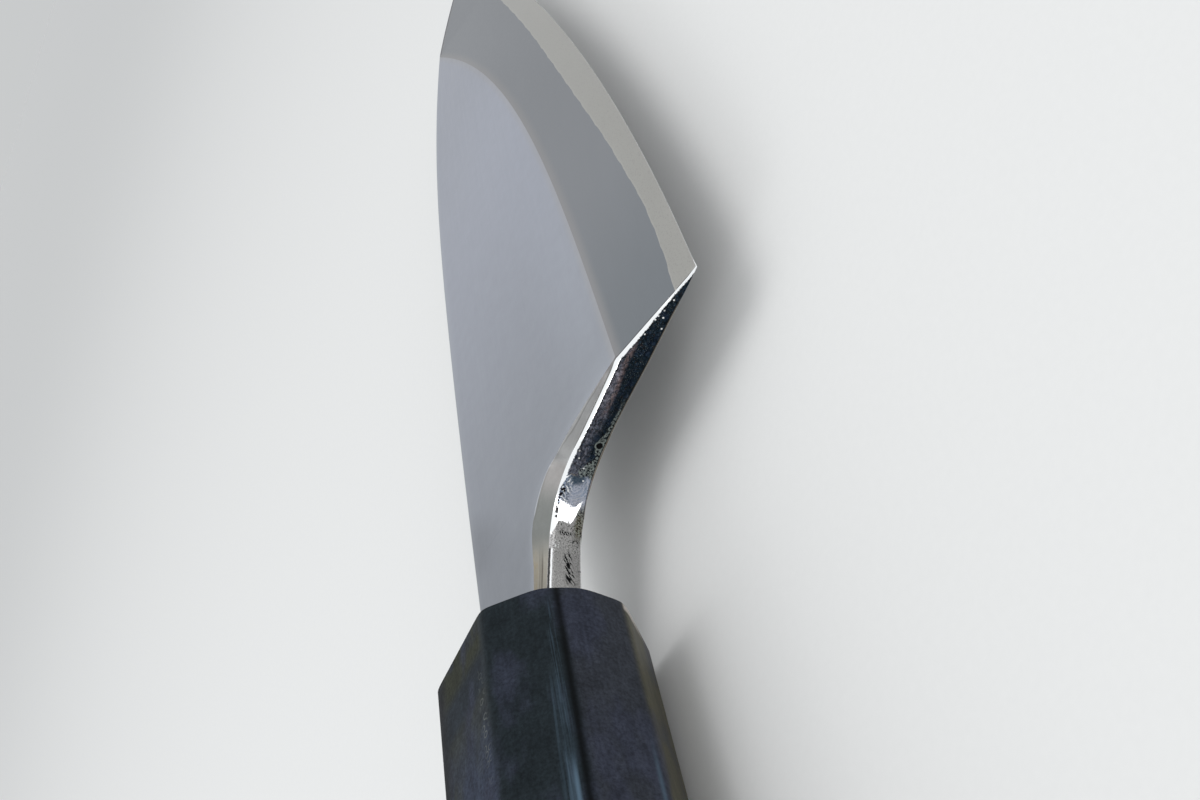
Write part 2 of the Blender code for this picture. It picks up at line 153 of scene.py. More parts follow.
class Graph:
    """Nodes of a material or of the world, with one method for every kind of node they need."""

    def __init__(self, owner: Material | bpy.types.World) -> None:
        """Empties the owner's nodes.

        Args:
            owner: Material or world that the nodes belong to.
        """
        owner.use_nodes = True
        self.owner = owner
        self.tree = owner.node_tree
        self.tree.nodes.clear()

    def node(self, kind: str, settings: dict | None = None, sockets: dict | None = None) -> bpy.types.Node:
        """Adds any node.

        Args:
            kind: The node's type.
            settings: Its own settings, which are made first.
            sockets: Numbers, colours, values or links for its inputs, by name or by place.

        Returns:
            The node.
        """
        made = self.tree.nodes.new(kind)
        for key, setting in (settings or {}).items():
            setattr(made, key, setting)
        for key, given in (sockets or {}).items():
            self.join(given, made.inputs[key])
        return made

    def join(self, given: Socketable, socket: Socket) -> None:
        """Links a value to a socket, or sets the number or colour on it.

        Args:
            given: Number, colour, value or output socket.
            socket: Input that gets it.
        """
        if isinstance(given, Value):
            given = given.socket
        if isinstance(given, Socket):
            self.tree.links.new(given, socket)
        elif isinstance(given, tuple) and socket.type == "RGBA":
            socket.default_value = (*given, 1.0)
        else:
            socket.default_value = given

    def math(self, operation: str, first: Socketable, second: Socketable = 0.0) -> Value:
        """Adds a Math node and returns its value."""
        made = self.node("ShaderNodeMath", {"operation": operation}, {0: first, 1: second})
        return Value(self, made.outputs[0])

    def mix(self, share: Socketable, first: Socketable, second: Socketable) -> Socket:
        """Blends two colours.

        Args:
            share: How much of the second colour there is, from 0 to 1.
            first: Colour where the share is 0.
            second: Colour where the share is 1.

        Returns:
            The colour socket.
        """
        settings = {"data_type": "RGBA", "blend_type": "MIX", "clamp_factor": True}
        return self.node("ShaderNodeMix", settings, {0: share, 6: first, 7: second}).outputs[2]

    def lean(self, share: Socketable, first: Socketable, second: Socketable) -> Socket:
        """Blends two normals: the second one where the share is 1."""
        settings = {"data_type": "VECTOR", "clamp_factor": True}
        return self.node("ShaderNodeMix", settings, {0: share, 4: first, 5: second}).outputs[1]

    def coat(self, colour: Socketable, *coats: tuple[Value, Socketable]) -> Socketable:
        """Lays colours over a colour, each one as its share says.

        Args:
            colour: Colour underneath.
            coats: Share and colour of each coat, the lowest first.

        Returns:
            The colour on top.
        """
        for share, tone in coats:
            colour = self.mix(share, colour, tone)
        return colour

    def shade(self, colour: Socketable, amount: Value) -> Socket:
        """Multiplies a colour by a value."""
        made = self.node("ShaderNodeVectorMath", {"operation": "SCALE"}, {0: colour, "Scale": amount})
        return made.outputs[0]

    def place(self, scale: Colour = (1.0, 1.0, 1.0)) -> Socket:
        """Object coordinates in metres, times a scale along each axis."""
        spot = self.node("ShaderNodeTexCoord").outputs["Object"]
        return self.node("ShaderNodeMapping", {}, {"Vector": spot, "Scale": scale}).outputs[0]

    def trait(self, name: str) -> Value:
        """One of the piece's own attributes."""
        return Value(self, self.node("ShaderNodeAttribute", {"attribute_name": name}).outputs["Fac"])

    def chart(self, run: Socketable, across: Socketable, depth: Socketable = 0.0) -> Socket:
        """Vector from two or three values."""
        return self.node("ShaderNodeCombineXYZ", {}, {0: run, 1: across, 2: depth}).outputs[0]

    def noise(self, vector: Socketable, scale: float, detail: float = 3.0, rough: float = 0.5) -> Value:
        """Fractal noise.

        Args:
            vector: Where it is read.
            scale: Features for each metre of the vector.
            detail: How many finer layers there are.
            rough: How strong each finer layer is against the one above.

        Returns:
            A value around 0.5.
        """
        sockets = {"Vector": vector, "Scale": scale, "Detail": detail, "Roughness": rough}
        return Value(self, self.node("ShaderNodeTexNoise", {}, sockets).outputs[0])

    def grain(self, scale: float | Colour, detail: float = 3.0, rough: float = 0.5) -> Value:
        """Fractal noise over the piece, with so many features a metre, the same or one for each axis.

        Args:
            scale: Features for each metre, the same along all axes or one for each.
            detail: How many finer layers there are.
            rough: How strong each finer layer is against the one above.

        Returns:
            A value around 0.5.
        """
        if isinstance(scale, tuple):
            return self.noise(self.place(scale), 1.0, detail, rough)
        return self.noise(self.place(), scale, detail, rough)

    def pits(self, vector: Socketable, scale: float) -> Value:
        """Distance on a chart from the nearest of many scattered points, in shares of their spacing.

        Args:
            vector: Where it is read.
            scale: Points for each metre of the vector.

        Returns:
            A value that is 0 at a point.
        """
        settings = {"feature": "F1", "voronoi_dimensions": "2D"}
        made = self.node("ShaderNodeTexVoronoi", settings, {"Vector": vector, "Scale": scale})
        return Value(self, made.outputs["Distance"])

    def away(self, across: Value, up: Value, centre: tuple[float, float]) -> Value:
        """Distance on a chart from one of its points."""
        return self.math("SQRT", (across - centre[0]) ** 2.0 + (up - centre[1]) ** 2.0)

    def bump(self, height: Value, strength: float, distance: float) -> Socket:
        """Normal from a height.

        Args:
            height: Height in shares of the distance.
            strength: How much of the bump is used.
            distance: Height of one share, in metres.

        Returns:
            The normal socket.
        """
        sockets = {"Height": height, "Strength": strength, "Distance": distance}
        return self.node("ShaderNodeBump", {}, sockets).outputs[0]


class Finish:
    """Look of a surface: colour, roughness and normal vary over the piece, and other sockets are fixed."""

    fixed: ClassVar[dict[str, float]] = {"Metallic": 1.0}

    def looks(self, g: Graph) -> Looks:
        """Base colour, roughness and normal."""
        raise NotImplementedError

    def material(self) -> Material:
        """Makes the material, named after the finish.

        Returns:
            The material.
        """
        name = re.sub("(?<!^)([A-Z])", r"_\1", type(self).__name__).lower()
        g = Graph(bpy.data.materials.new(name))
        sockets = dict(zip(("Base Color", "Roughness", "Normal"), self.looks(g)))
        shader = g.node("ShaderNodeBsdfPrincipled", {}, sockets | self.fixed)
        g.node("ShaderNodeOutputMaterial", {}, {"Surface": shader.outputs[0]})
        return g.owner


@dataclass(frozen=True)
class FlankSatin(Finish):
    """Flat flank of soft iron: fine satin with cloudy tone and a warm soft line along the ridge, with painted
    shade near the handle and towards the tip and painted light by the ridge and the shoulder's edge.
    """

    tone: Colour = (0.298, 0.314, 0.367)
    near_handle: Colour = (0.232, 0.245, 0.268)
    ridge_warmth: Colour = (0.300, 0.290, 0.290)
    dark_patch: Spot = (27.5 * MM, 6.1 * MM)
    patch_level: float = 6.8 * MM

    def looks(self, g: Graph) -> Looks:
        """Base colour, roughness and normal.

        Args:
            g: The material's graph.

        Returns:
            What goes to the shader.
        """
        cloud = g.grain((18.0, 60.0, 18.0), 2.0)
        streak = g.grain((60.0, 2600.0, 200.0), 2.0)
        grain = g.grain(2600.0, 2.0)
        haze = g.grain((420.0, 420.0, 420.0), 4.0, 0.65)
        along, level, gap, foot = (g.trait(name) for name in ("along", "level", "ridge_gap", "foot_gap"))
        # Painted shade: the colour darkens towards the handle.
        colour = g.coat(
            self.tone,
            (along.rise(0.105, -0.005), self.near_handle),
            (gap.rise(0.0016, 0.0) * 0.5, self.ridge_warmth))
        shading = 0.85 + 0.12 * cloud + 0.04 * streak + 0.03 * grain + 0.16 * haze
        # Painted light and shade: lighter by the ridge near the handle and by the shoulder's edge, darker far
        # from the ridge, towards the tip and by the handle.
        by_ridge = 0.13 * gap.rise(0.014, 0.002) * along.rise(0.100, 0.035)
        shading = shading * (1.0 + by_ridge - 0.05 * gap.rise(0.010, 0.026))
        shading = shading * (1.0 - 0.10 * along.rise(0.105, 0.150) - 0.09 * along.rise(0.0235, 0.0165))
        shading = shading * (1.0 + 0.09 * foot.rise(0.0020, 0.0) + 0.06 * foot.rise(0.0065, 0.0005))
        shading = shading * (1.0 + 0.13 * foot.rise(0.0011, 0.0) * along.rise(0.0200, 0.0165))
        leaning = along - 0.6 * (level - self.patch_level)
        patch = g.away(leaning, 0.9 * level, self.dark_patch).rise(0.0095, 0.0015)
        return (
            g.shade(colour, shading * (1.0 - 0.21 * patch)),
            0.34 + 0.10 * (streak - 0.5) + 0.06 * (cloud - 0.5),
            g.bump(0.7 * streak + 0.3 * grain, 0.12, 0.00002))


@dataclass(frozen=True)
class BevelHaze(Finish):
    """Bevel of soft iron: darker than the flank, hazed by fine stones, with painted shade towards the heel
    and the tip.
    """

    tone: Colour = (0.218, 0.227, 0.242)
    heel_tone: Colour = (0.175, 0.190, 0.205)
    warmth: Colour = (0.275, 0.268, 0.268)

    def looks(self, g: Graph) -> Looks:
        """Base colour, roughness and normal.

        Args:
            g: The material's graph.

        Returns:
            What goes to the shader.
        """
        cloud = g.grain((30.0, 90.0, 60.0))
        haze = g.grain(1500.0, 4.0, 0.65)
        streak = g.grain((120.0, 3600.0, 900.0), 2.0)
        along = g.trait("along")
        # Painted shade: the colour darkens towards the heel.
        colour = g.coat(
            self.tone,
            (along.rise(0.075, 0.020), self.heel_tone),
            (g.trait("ridge_gap").rise(-0.0018, 0.0) * 0.8, self.warmth))
        shading = 0.84 + 0.12 * cloud + 0.17 * haze + 0.03 * streak
        # Painted shade: a little darker towards the tip.
        return (
            g.shade(colour, shading * (1.0 - 0.08 * along.rise(0.045, 0.130))),
            0.42 + 0.15 * (haze - 0.5),
            g.bump(0.6 * haze + 0.4 * streak, 0.18, 0.00002))


@dataclass(frozen=True)
class EdgeHaze(Finish):
    """Strip of hard edge steel beside the edge: light, warm grey and finely speckled."""

    tone: Colour = (0.352, 0.345, 0.322)
    speck: Colour = (0.235, 0.228, 0.215)

    def looks(self, g: Graph) -> Looks:
        """Base colour, roughness and normal.

        Args:
            g: The material's graph.

        Returns:
            What goes to the shader.
        """
        speckle = g.grain(3800.0, 3.0, 0.7)
        cloud = g.grain((60.0, 160.0, 100.0), 2.0)
        colour = g.mix(speckle.rise(0.50, 0.30) * 0.55, self.tone, self.speck)
        weld = g.trait("weld_gap").band(-0.0001, 0.00025)
        return (
            g.shade(colour, 0.93 + 0.10 * cloud + 0.06 * weld),
            0.38 + 0.12 * (speckle - 0.5),
            g.bump(speckle, 0.2, 0.00002))


class HeelChart:
    """Values that the pattern of the heel face is drawn from."""

    def __init__(self, g: Graph) -> None:
        """Reads the face's own attributes and two noises over them, whole and around zero.

        Args:
            g: The material's graph.
        """
        self.run = g.trait("run")
        self.depth = 1.0 - g.trait("rise")
        self.drop = g.trait("drop")
        self.lift = g.trait("lift")
        self.spot = g.chart(self.run, self.lift)
        self.coarse = g.noise(self.spot, 1100.0, 3.0, 0.6)
        self.fine = g.noise(self.spot, 4200.0, 3.0, 0.7)
        self.sway = self.coarse - 0.5
        self.fray = self.fine - 0.5


@dataclass(frozen=True)
class HeelPolish(Finish):
    """Polished heel face and neck: a dark mirror whose colours are painted reflection, with pits, a painted
    highlight on the rim, a painted blown highlight and a silvery neck.
    """

    deep: Colour = (0.0076, 0.0155, 0.0230)
    navy: Colour = (0.0120, 0.0205, 0.0370)
    slate: Colour = (0.0400, 0.0600, 0.0900)
    umber: Colour = (0.0420, 0.0260, 0.0240)
    veil: Colour = (0.125, 0.130, 0.165)
    lilac: Colour = (0.340, 0.330, 0.390)
    rosy: Colour = (0.240, 0.170, 0.165)
    tan: Colour = (0.300, 0.250, 0.200)
    teal: Colour = (0.035, 0.062, 0.092)
    bluish: Colour = (0.300, 0.350, 0.445)
    lavender: Colour = (0.520, 0.535, 0.620)
    silver: Colour = (0.400, 0.392, 0.385)
    olive: Colour = (0.120, 0.108, 0.062)
    grit: Colour = (0.330, 0.370, 0.350)
    ashen: Colour = (0.220, 0.215, 0.205)
    bright: Colour = (0.970, 0.980, 0.980)
    soot: Colour = (0.010, 0.010, 0.011)
    rim_width: float = 0.50 * MM
    rim_swell: float = 0.08 * MM
    rim_margin: float = 0.15 * MM
    line_width: float = 0.22 * MM
    rim_start: float = 23.8 * MM
    line_start: float = 16.8 * MM
    neck_line_end: float = 14.6 * MM
    swirl_end: float = 25.3 * MM
    swirl_centre: Spot = (23.9 * MM, 1.9 * MM)
    lines_centre: Spot = (25.2 * MM, 3.0 * MM)
    shadow_centre: Spot = (25.0 * MM, 1.8 * MM)
    blush_centre: Spot = (25.5 * MM, 1.31 * MM)
    pit_centre: Spot = (29.9 * MM, 0.62 * MM)
    hook_centre: Spot = (16.3 * MM, 0.85 * MM)
    flecks: tuple[Spot, ...] = (
        (47.1, 2.09), (49.4, 1.69), (49.9, 0.80), (48.4, 0.33), (50.0, 1.52), (50.9, 1.10),
        (52.6, 0.59), (26.4, 1.51), (27.6, 2.63), (28.6, 2.97), (24.8, 1.05), (15.3, 3.64))
    arc_step: float = 0.55 * MM
    line_step: float = 0.33 * MM
    flare_tilt: float = 0.31

    def dark(self, g: Graph, c: HeelChart) -> Socketable:
        """Dark face towards the heel, its tones painted reflection: paler and rosy under the rim with a lilac
        painted glow, crusted at its foot, finely specked, with pale specks that are painted glints.

        Args:
            g: The material's graph.
            c: Values of the face's chart.

        Returns:
            Its colour.
        """
        brushed = g.noise(g.chart(c.run * 0.50, c.lift), 2200.0, 4.0, 0.72)
        patch = g.noise(c.spot, 800.0, 3.0, 0.6)
        mottle = g.noise(c.spot, 3000.0, 2.0, 0.65)
        dust = g.noise(c.spot, 6500.0, 1.0)
        crumb = g.noise(c.spot, 3000.0, 3.0, 0.75)
        off = c.depth - (0.24 + 31.0 * (0.0458 - c.run)).least(0.47) + 0.10 * (brushed - 0.5)
        wide = (c.depth + 0.7 * (patch - 0.5)).rise(0.76, 0.36)
        above = c.run.rise(0.0345, 0.0380) * (off.rise(0.06, -0.06) - wide)
        pale_reflection_share = (wide + above) * c.run.rise(0.0500, 0.0400)
        streak = off.band(0.0, 0.15) * c.run.band(0.0398, 0.0075).rise(0.0, 0.45) * brushed.rise(0.36, 0.56)
        glow = c.drop.rise(0.00185, 0.00110) * c.run.band(0.0385, 0.0048).rise(0.0, 0.5)
        # Painted reflection: the navy, pale, lavender, rosy, lilac, slate and umber tones stand for what the
        # dark mirror reflects.
        colour = g.coat(
            self.deep,
            (patch.rise(0.48, 0.62), self.navy),
            (pale_reflection_share * brushed.rise(0.30, 0.56), self.veil),
            (streak * 0.85, self.rosy),
            (brushed.rise(0.55, 0.70) * pale_reflection_share * 0.40, self.lavender),
            (glow * brushed.rise(0.30, 0.60) * 0.75, self.lilac),
            (mottle.rise(0.53, 0.64) * 0.55, self.slate),
            (mottle.rise(0.46, 0.36) * patch.rise(0.56, 0.46) * 0.6, self.umber))
        colour = g.shade(colour, 0.55 + 0.9 * g.noise(c.spot, 1900.0, 2.0, 0.6).rise(0.36, 0.64))
        crust = 0.0004 + 0.0007 * c.run.band(0.0300, 0.0026) + 0.0016 * c.run.band(0.0259, 0.0024)
        crusty = (crust + 0.0007 * c.sway - c.lift).over(0.00008) * c.run.rise(0.0385, 0.0340)
        ring = g.away(c.run, c.lift, self.pit_centre) + 0.00012 * c.fray
        # Painted glints: the pale specks laid with the dust noise.
        return g.coat(
            colour,
            (dust.rise(0.60, 0.72) * c.coarse.rise(0.36, 0.56) * 0.45, self.grit),
            (c.fine.rise(0.46, 0.36) * 0.7, self.soot),
            (crusty * crumb.rise(0.46, 0.55) * 0.85, self.grit),
            (crusty * crumb.rise(0.47, 0.40), self.soot),
            (ring.band(0.00056, 0.00016) * c.fine.rise(0.36, 0.52), self.grit),
            (ring.rise(0.00046, 0.00038), self.soot))

    def swirl(self, g: Graph, c: HeelChart) -> Socketable:
        """Bluish patch at the bend, where the polish left round arcs, its tones painted reflection: teal
        painted shadow on top, pale in its middle, painted highlights on some arcs.

        Args:
            g: The material's graph.
            c: Values of the face's chart.

        Returns:
            Its colour.
        """
        turn = g.away(c.run, c.lift, self.swirl_centre) + 0.0011 * c.sway
        arcs = g.math("SINE", turn * (2 * np.pi / self.arc_step)) * 0.5 + 0.5
        second = g.away(c.run, c.lift, self.lines_centre) + 0.0007 * c.sway
        lines = g.math("SINE", second * (2 * np.pi / self.line_step)) * 0.5 + 0.5
        rough = (c.depth + 0.25 * c.sway).rise(0.52, 0.30)
        shadow = g.away(c.run, c.lift, self.shadow_centre) + 0.0010 * c.sway
        blush = g.away(c.run, 0.5 * c.lift, self.blush_centre) + 0.0005 * c.fray
        # Painted reflection: bluish and lavender tones, painted highlights on rough arcs and a teal painted
        # shadow.
        return g.coat(
            self.bluish,
            (turn.rise(0.0016, 0.0002) * c.coarse.rise(0.36, 0.60), self.lavender),
            (c.run.rise(0.0236, 0.0220) * 0.65, self.lavender),
            (arcs.rise(0.35, 1.0) * c.fine.rise(0.40, 0.52) * 0.85, self.lavender),
            (lines.rise(0.70, 1.0) * c.coarse.rise(0.46, 0.60) * 0.8, self.silver),
            (lines.rise(0.30, 0.0) * c.fine.rise(0.56, 0.44) * 0.6, self.teal),
            (rough * c.fine.rise(0.56, 0.46) * 0.75, self.teal),
            (rough * arcs.rise(0.72, 0.92) * c.coarse.rise(0.42, 0.52), self.bright),
            (shadow.rise(0.0013, 0.0005) * 0.88, self.teal),
            (blush.rise(0.00045, 0.00020) * c.fine.rise(0.40, 0.52), self.tan))

    def neck(self, g: Graph, c: HeelChart) -> Socketable:
        """Silvery neck: grainy, dented and scratched, with a painted highlight line on its corner, painted
        glints in its pocks and a painted highlight along the back's corner.

        Args:
            g: The material's graph.
            c: Values of the face's chart.

        Returns:
            Its colour.
        """
        grain = g.noise(c.spot, 5200.0, 2.0, 0.6)
        shading = 0.60 + 0.42 * c.fine.rise(0.34, 0.66) + 0.38 * grain.rise(0.34, 0.66)
        shading = shading * (0.80 + 0.40 * c.coarse) * (1.0 - 0.25 * c.depth.rise(0.55, 0.95))
        slant = g.chart(c.run * 0.55 + c.lift * 0.6, c.lift * 2.4 - c.run * 1.7)
        scratch = g.noise(slant, 900.0, 3.0, 0.6).rise(0.48, 0.54)
        off = c.depth - 0.62 + 30.0 * (c.run - 0.0125)
        marks = c.run.band(0.0124, 0.0032).rise(0.0, 0.4) * off.band(0.0, 0.20).rise(0.0, 0.5) * scratch
        pocked = c.run.band(0.0160, 0.0030) * (1.0 - c.depth.band(0.5, 0.12) * c.run.rise(0.0160, 0.0150))
        dents = pocked * c.fine.rise(0.44, 0.38) * c.coarse.rise(0.44, 0.52)
        row = (c.run + 0.0006 * c.sway).band(0.0174, 0.00040).rise(0.0, 0.5)
        row = row * c.depth.band(0.48, 0.30).rise(0.0, 0.4) * c.fine.rise(0.56, 0.48)
        hook = g.away(c.run, c.lift, self.hook_centre).band(0.00036, 0.00016) * c.coarse.rise(0.58, 0.46)
        glint = c.run.band(0.0155, 0.0013) * c.depth.band(0.22, 0.16) * c.fine.rise(0.52, 0.60)
        lined = c.run.rise(self.neck_line_end + 0.0004, self.neck_line_end)
        side = c.depth + 0.03 * c.sway
        # Painted glints in the pocks, a painted highlight along the back's corner, and on the upper corner a
        # painted highlight line with a near-black border.
        return g.coat(
            g.shade(self.silver, shading),
            (marks + (dents + row + hook), self.soot),
            (glint + pocked * c.fine.rise(0.64, 0.70) * 0.5, self.bright),
            (c.lift.rise(0.00022, 0.00008) * 0.5, self.bright),
            (side.band(0.035, 0.035).rise(0.0, 0.5) * lined * 0.9, self.soot),
            (side.band(0.092, 0.040).rise(0.25, 0.75) * lined, self.bright))

    def corroded(self, g: Graph, c: HeelChart, colour: Socketable) -> Socketable:
        """Adds the olive crust between the blown highlight and the back's corner.

        Args:
            g: The material's graph.
            c: Values of the face's chart.
            colour: Colour underneath.

        Returns:
            The colour with the crust.
        """
        crumb = g.noise(c.spot, 3600.0, 3.0, 0.75)
        edge = (c.depth + 0.30 * c.sway).rise(0.70, 0.80) * c.run.band(0.0192, 0.0036).rise(0.0, 0.7)
        below = c.run.band(0.0186, 0.0016) * crumb.rise(0.48, 0.42) * c.coarse.rise(0.40, 0.50)
        return g.coat(
            colour,
            (edge * crumb.rise(0.40, 0.52) * 0.85, self.olive),
            (edge * crumb.rise(0.54, 0.60) * 0.8, self.grit),
            (edge * crumb.rise(0.50, 0.44), self.soot),
            (below, self.soot))

    def flare(self, c: HeelChart) -> Value:
        """Where the blown highlight lies: between two ragged borders that bend with the face's depth.

        Args:
            c: Values of the face's chart.

        Returns:
            A value that is 1 inside.
        """
        depth = c.depth + 0.10 * c.fray
        lower = 0.0190 + 0.0034 * depth.rise(0.62, 0.96) - 0.0017 * depth.rise(0.24, 0.05)
        upper = 0.0216 + 0.0008 * depth.rise(0.66, 1.0) - 0.0016 * depth.rise(0.16, 0.06)
        upper = upper - 0.0004 * depth.band(0.58, 0.30)
        ragged = c.run + 0.0010 * c.sway + 0.0014 * c.fray
        return (ragged - lower).over(0.00005) * (upper - ragged).over(0.00005)

    def rim(self, c: HeelChart) -> Value:
        """Where the painted highlight on the rim lies: a thin line at the bend, then a band with a ragged
        lower border.

        Args:
            c: Values of the face's chart.

        Returns:
            A value that is 1 inside.
        """
        wide = self.rim_width + self.rim_swell * c.run.rise(0.0270, 0.0300) - self.line_width
        wide = wide - 0.00013 * c.run.rise(0.0460, 0.0510)
        width = self.line_width + wide * c.run.rise(self.rim_start - 0.0008, self.rim_start + 0.0008)
        width = width + 0.00030 * c.run.rise(0.030, 0.034) * c.sway + 0.00045 * c.fray
        start = (c.run + 0.0008 * c.fray).rise(self.line_start - 0.0003, self.line_start + 0.0003)
        return (width - c.drop).over(0.00005) * start

    def chain(self, g: Graph, c: HeelChart) -> Value:
        """Where the row of black specks lies, just under the rim at the bend.

        Args:
            g: The material's graph.
            c: Values of the face's chart.

        Returns:
            A value that is 1 on a speck.
        """
        dots = g.pits(g.chart(c.run, c.lift * 0.8), 2500.0) + 0.4 * c.fray
        reach = 0.075 + 0.09 * c.run.rise(0.0216, 0.0232)
        row = ((c.depth - 0.065 - 0.5 * reach) / reach).band(0.0, 0.75).rise(0.0, 0.3)
        return row * c.run.band(0.0214, 0.0030).rise(0.0, 0.25) * dots.rise(0.46, 0.38)

    def looks(self, g: Graph) -> Looks:
        """Base colour, roughness and normal.

        Args:
            g: The material's graph.

        Returns:
            What goes to the shader.
        """
        c = HeelChart(g)
        ragged = c.run + 0.0014 * c.sway
        flare = self.flare(c)
        rim = self.rim(c)
        bend = ragged.rise(self.swirl_end + 0.0003, self.swirl_end - 0.0003)
        colour = g.mix(bend, self.dark(g, c), self.swirl(g, c))
        colour = g.mix((ragged + 0.0012 * c.depth).rise(0.0216, 0.0208), colour, self.neck(g, c))
        # Painted highlight: the blown highlight at the bend.
        colour = g.coat(self.corroded(g, c, colour), (flare, self.bright), (self.chain(g, c), self.soot))
        # Painted glints: small white spots on the face.
        for run, lift in self.flecks:
            fleck = g.away(c.run, c.lift, (run * MM, lift * MM)) + 0.00010 * c.fray
            colour = g.mix(fleck.rise(0.00015, 0.00008), colour, self.bright)
        arris = c.run.rise(0.0415, 0.0430) * c.run.rise(0.0575, 0.0560)
        margin = self.rim_margin * c.run.rise(0.0270, 0.0310) * c.run.rise(0.0430, 0.0405)
        foot = c.run.rise(0.0190, 0.0220) * c.run.rise(0.0540, 0.0500)
        # Painted highlight: the white of the rim.
        colour = g.coat(
            colour,
            (rim, self.bright),
            ((0.00007 * arris - c.drop).over(0.00003), self.soot),
            ((margin - c.drop).over(0.00003), self.ashen),
            # A near-black line along the face's foot, with a tan line under it.
            ((c.lift.band(0.00002, 0.00010) * foot).rise(0.0, 0.6) * 0.8, self.soot),
            (c.lift.rise(-0.00004, -0.00010) * foot * 0.8, self.tan))
        plain = g.bump(0.6 * c.coarse + 0.4 * c.fine, 0.45, 0.00003)
        tilted = g.bump(-1.0 * c.lift, 1.0, self.flare_tilt)
        mirror = flare.top(rim * c.run.rise(0.0285, 0.0315))
        return colour, 0.36 - 0.26 * c.run.rise(0.0205, 0.0220), g.lean(mirror, plain, tilted)


@dataclass(frozen=True)
class ShoulderMatt(Finish):
    """Narrow matt strip between the heel face and the flank, beige by the handle and going to grey; away from
    the handle it is painted much lighter to make up for the light the steep strip loses, with a painted
    highlight past its thin line.
    """

    upper: Colour = (0.550, 0.548, 0.545)
    pale: Colour = (0.372, 0.356, 0.346)
    middle: Colour = (0.215, 0.222, 0.212)
    corner: Colour = (0.195, 0.188, 0.187)
    lower: Colour = (0.400, 0.375, 0.325)
    tan: Colour = (0.400, 0.345, 0.255)
    line: Colour = (0.110, 0.100, 0.082)
    glint: Colour = (0.400, 0.415, 0.440)
    thin_runs: tuple[float, ...] = (18.0, 20.0, 27.3, 28.4, 29.6, 30.9, 32.3, 35.4, 37.1)
    thin_shares: tuple[float, ...] = (0.97, 0.80, 0.84, 0.82, 0.71, 0.60, 0.58, 0.66, 0.60)

    def thin(self, run: Value) -> Value:
        """Share of the strip's width at which the thin dividing line runs.

        Args:
            run: Way along the strip.

        Returns:
            A share from 0 to 1.
        """
        share = self.thin_shares[0]
        for k in range(len(self.thin_runs) - 1):
            step = self.thin_shares[k + 1] - self.thin_shares[k]
            share = run.rise(self.thin_runs[k] * MM, self.thin_runs[k + 1] * MM) * step + share
        return share

    def looks(self, g: Graph) -> Looks:
        """Base colour, roughness and normal.

        Args:
            g: The material's graph.

        Returns:
            What goes to the shader.
        """
        run = g.trait("run")
        share = g.trait("rise") - 1.0
        streak = g.noise(g.chart(run * 0.20, share * 0.0016), 4000.0, 3.0, 0.6)
        speck = g.grain(3600.0)
        past = share - self.thin(run)
        edge = past.rise(0.02, 0.14) * run.rise(0.0150, 0.0190) * run.rise(0.0405, 0.0360)
        lines = share.band(0.28, 0.09) + 0.7 * share.band(0.42, 0.06)
        # Painted light: the upper colour is much lighter than the flank to make up for the light the steep
        # strip loses, and the glint is a painted highlight past the thin line near the handle.
        colour = g.coat(
            self.middle,
            (run.rise(0.0205, 0.0248), self.pale),
            (run.rise(0.0257, 0.0272), self.upper),
            (run.rise(0.0330, 0.0395), self.corner),
            (run.rise(0.0175, 0.0110), self.lower),
            (run.rise(0.0150, 0.0120) * share.band(0.72, 0.30) * streak.rise(0.35, 0.65), self.tan),
            (lines * run.rise(0.0160, 0.0115) * (0.2 + streak), self.line),
            (edge * run.rise(0.0285, 0.0255), self.glint))
        # Painted light: the part past the thin line is made lighter away from the handle.
        colour = g.shade(colour, 1.0 + 0.12 * edge * run.rise(0.0255, 0.0285))
        shown = run.rise(0.0150, 0.0180) * (0.14 + 0.20 * run.rise(0.0270, 0.0330)) * run.rise(0.0425, 0.0405)
        colour = g.mix(past.band(0.0, 0.11).rise(0.0, 0.8) * shown, colour, self.line)
        return (
            g.shade(colour, 0.84 + 0.22 * streak + 0.12 * speck),
            0.45 + 0.15 * (streak - 0.5),
            g.bump(streak, 0.25, 0.00002))


@dataclass(frozen=True)
class ForgedBar(Finish):
    """Spine, tang and hidden faces: drawn-out iron with a ground top, finely scratched along."""

    tone: Colour = (0.300, 0.308, 0.325)
    dull: Colour = (0.170, 0.165, 0.160)

    def looks(self, g: Graph) -> Looks:
        """Base colour, roughness and normal.

        Args:
            g: The material's graph.

        Returns:
            What goes to the shader.
        """
        streak = g.grain((90.0, 2400.0, 2400.0))
        patch = g.grain(260.0, 4.0, 0.6)
        colour = g.coat(
            self.tone,
            (patch.rise(0.40, 0.70) * 0.35, self.dull),
            (g.trait("along").rise(-0.001, -0.006), self.dull))
        return (
            g.shade(colour, 0.86 + 0.28 * streak),
            0.40 + 0.2 * (streak - 0.5),
            g.bump(0.7 * streak + 0.3 * patch, 0.3, 0.00003))


@dataclass(frozen=True)
class HollowBack(Finish):
    """Back of the edge steel: a polished flat rim round a hollow with marks of the round wheel."""

    rim: Colour = (0.470, 0.475, 0.480)
    hollow: Colour = (0.330, 0.340, 0.355)

    def looks(self, g: Graph) -> Looks:
        """Base colour, roughness and normal.

        Args:
            g: The material's graph.

        Returns:
            What goes to the shader.
        """
        lines = g.grain((4200.0, 160.0, 100.0), 2.0)
        fine = g.grain((140.0, 4200.0, 100.0), 2.0)
        inside = g.trait("depth").rise(0.00001, 0.00003)
        return (
            g.shade(g.mix(inside, self.rim, self.hollow), 0.88 + 0.12 * lines + 0.10 * fine),
            0.26 + 0.12 * inside + 0.08 * (lines - 0.5),
            g.bump(inside * lines + (1.0 - inside) * 0.4 * fine, 0.25, 0.00002))


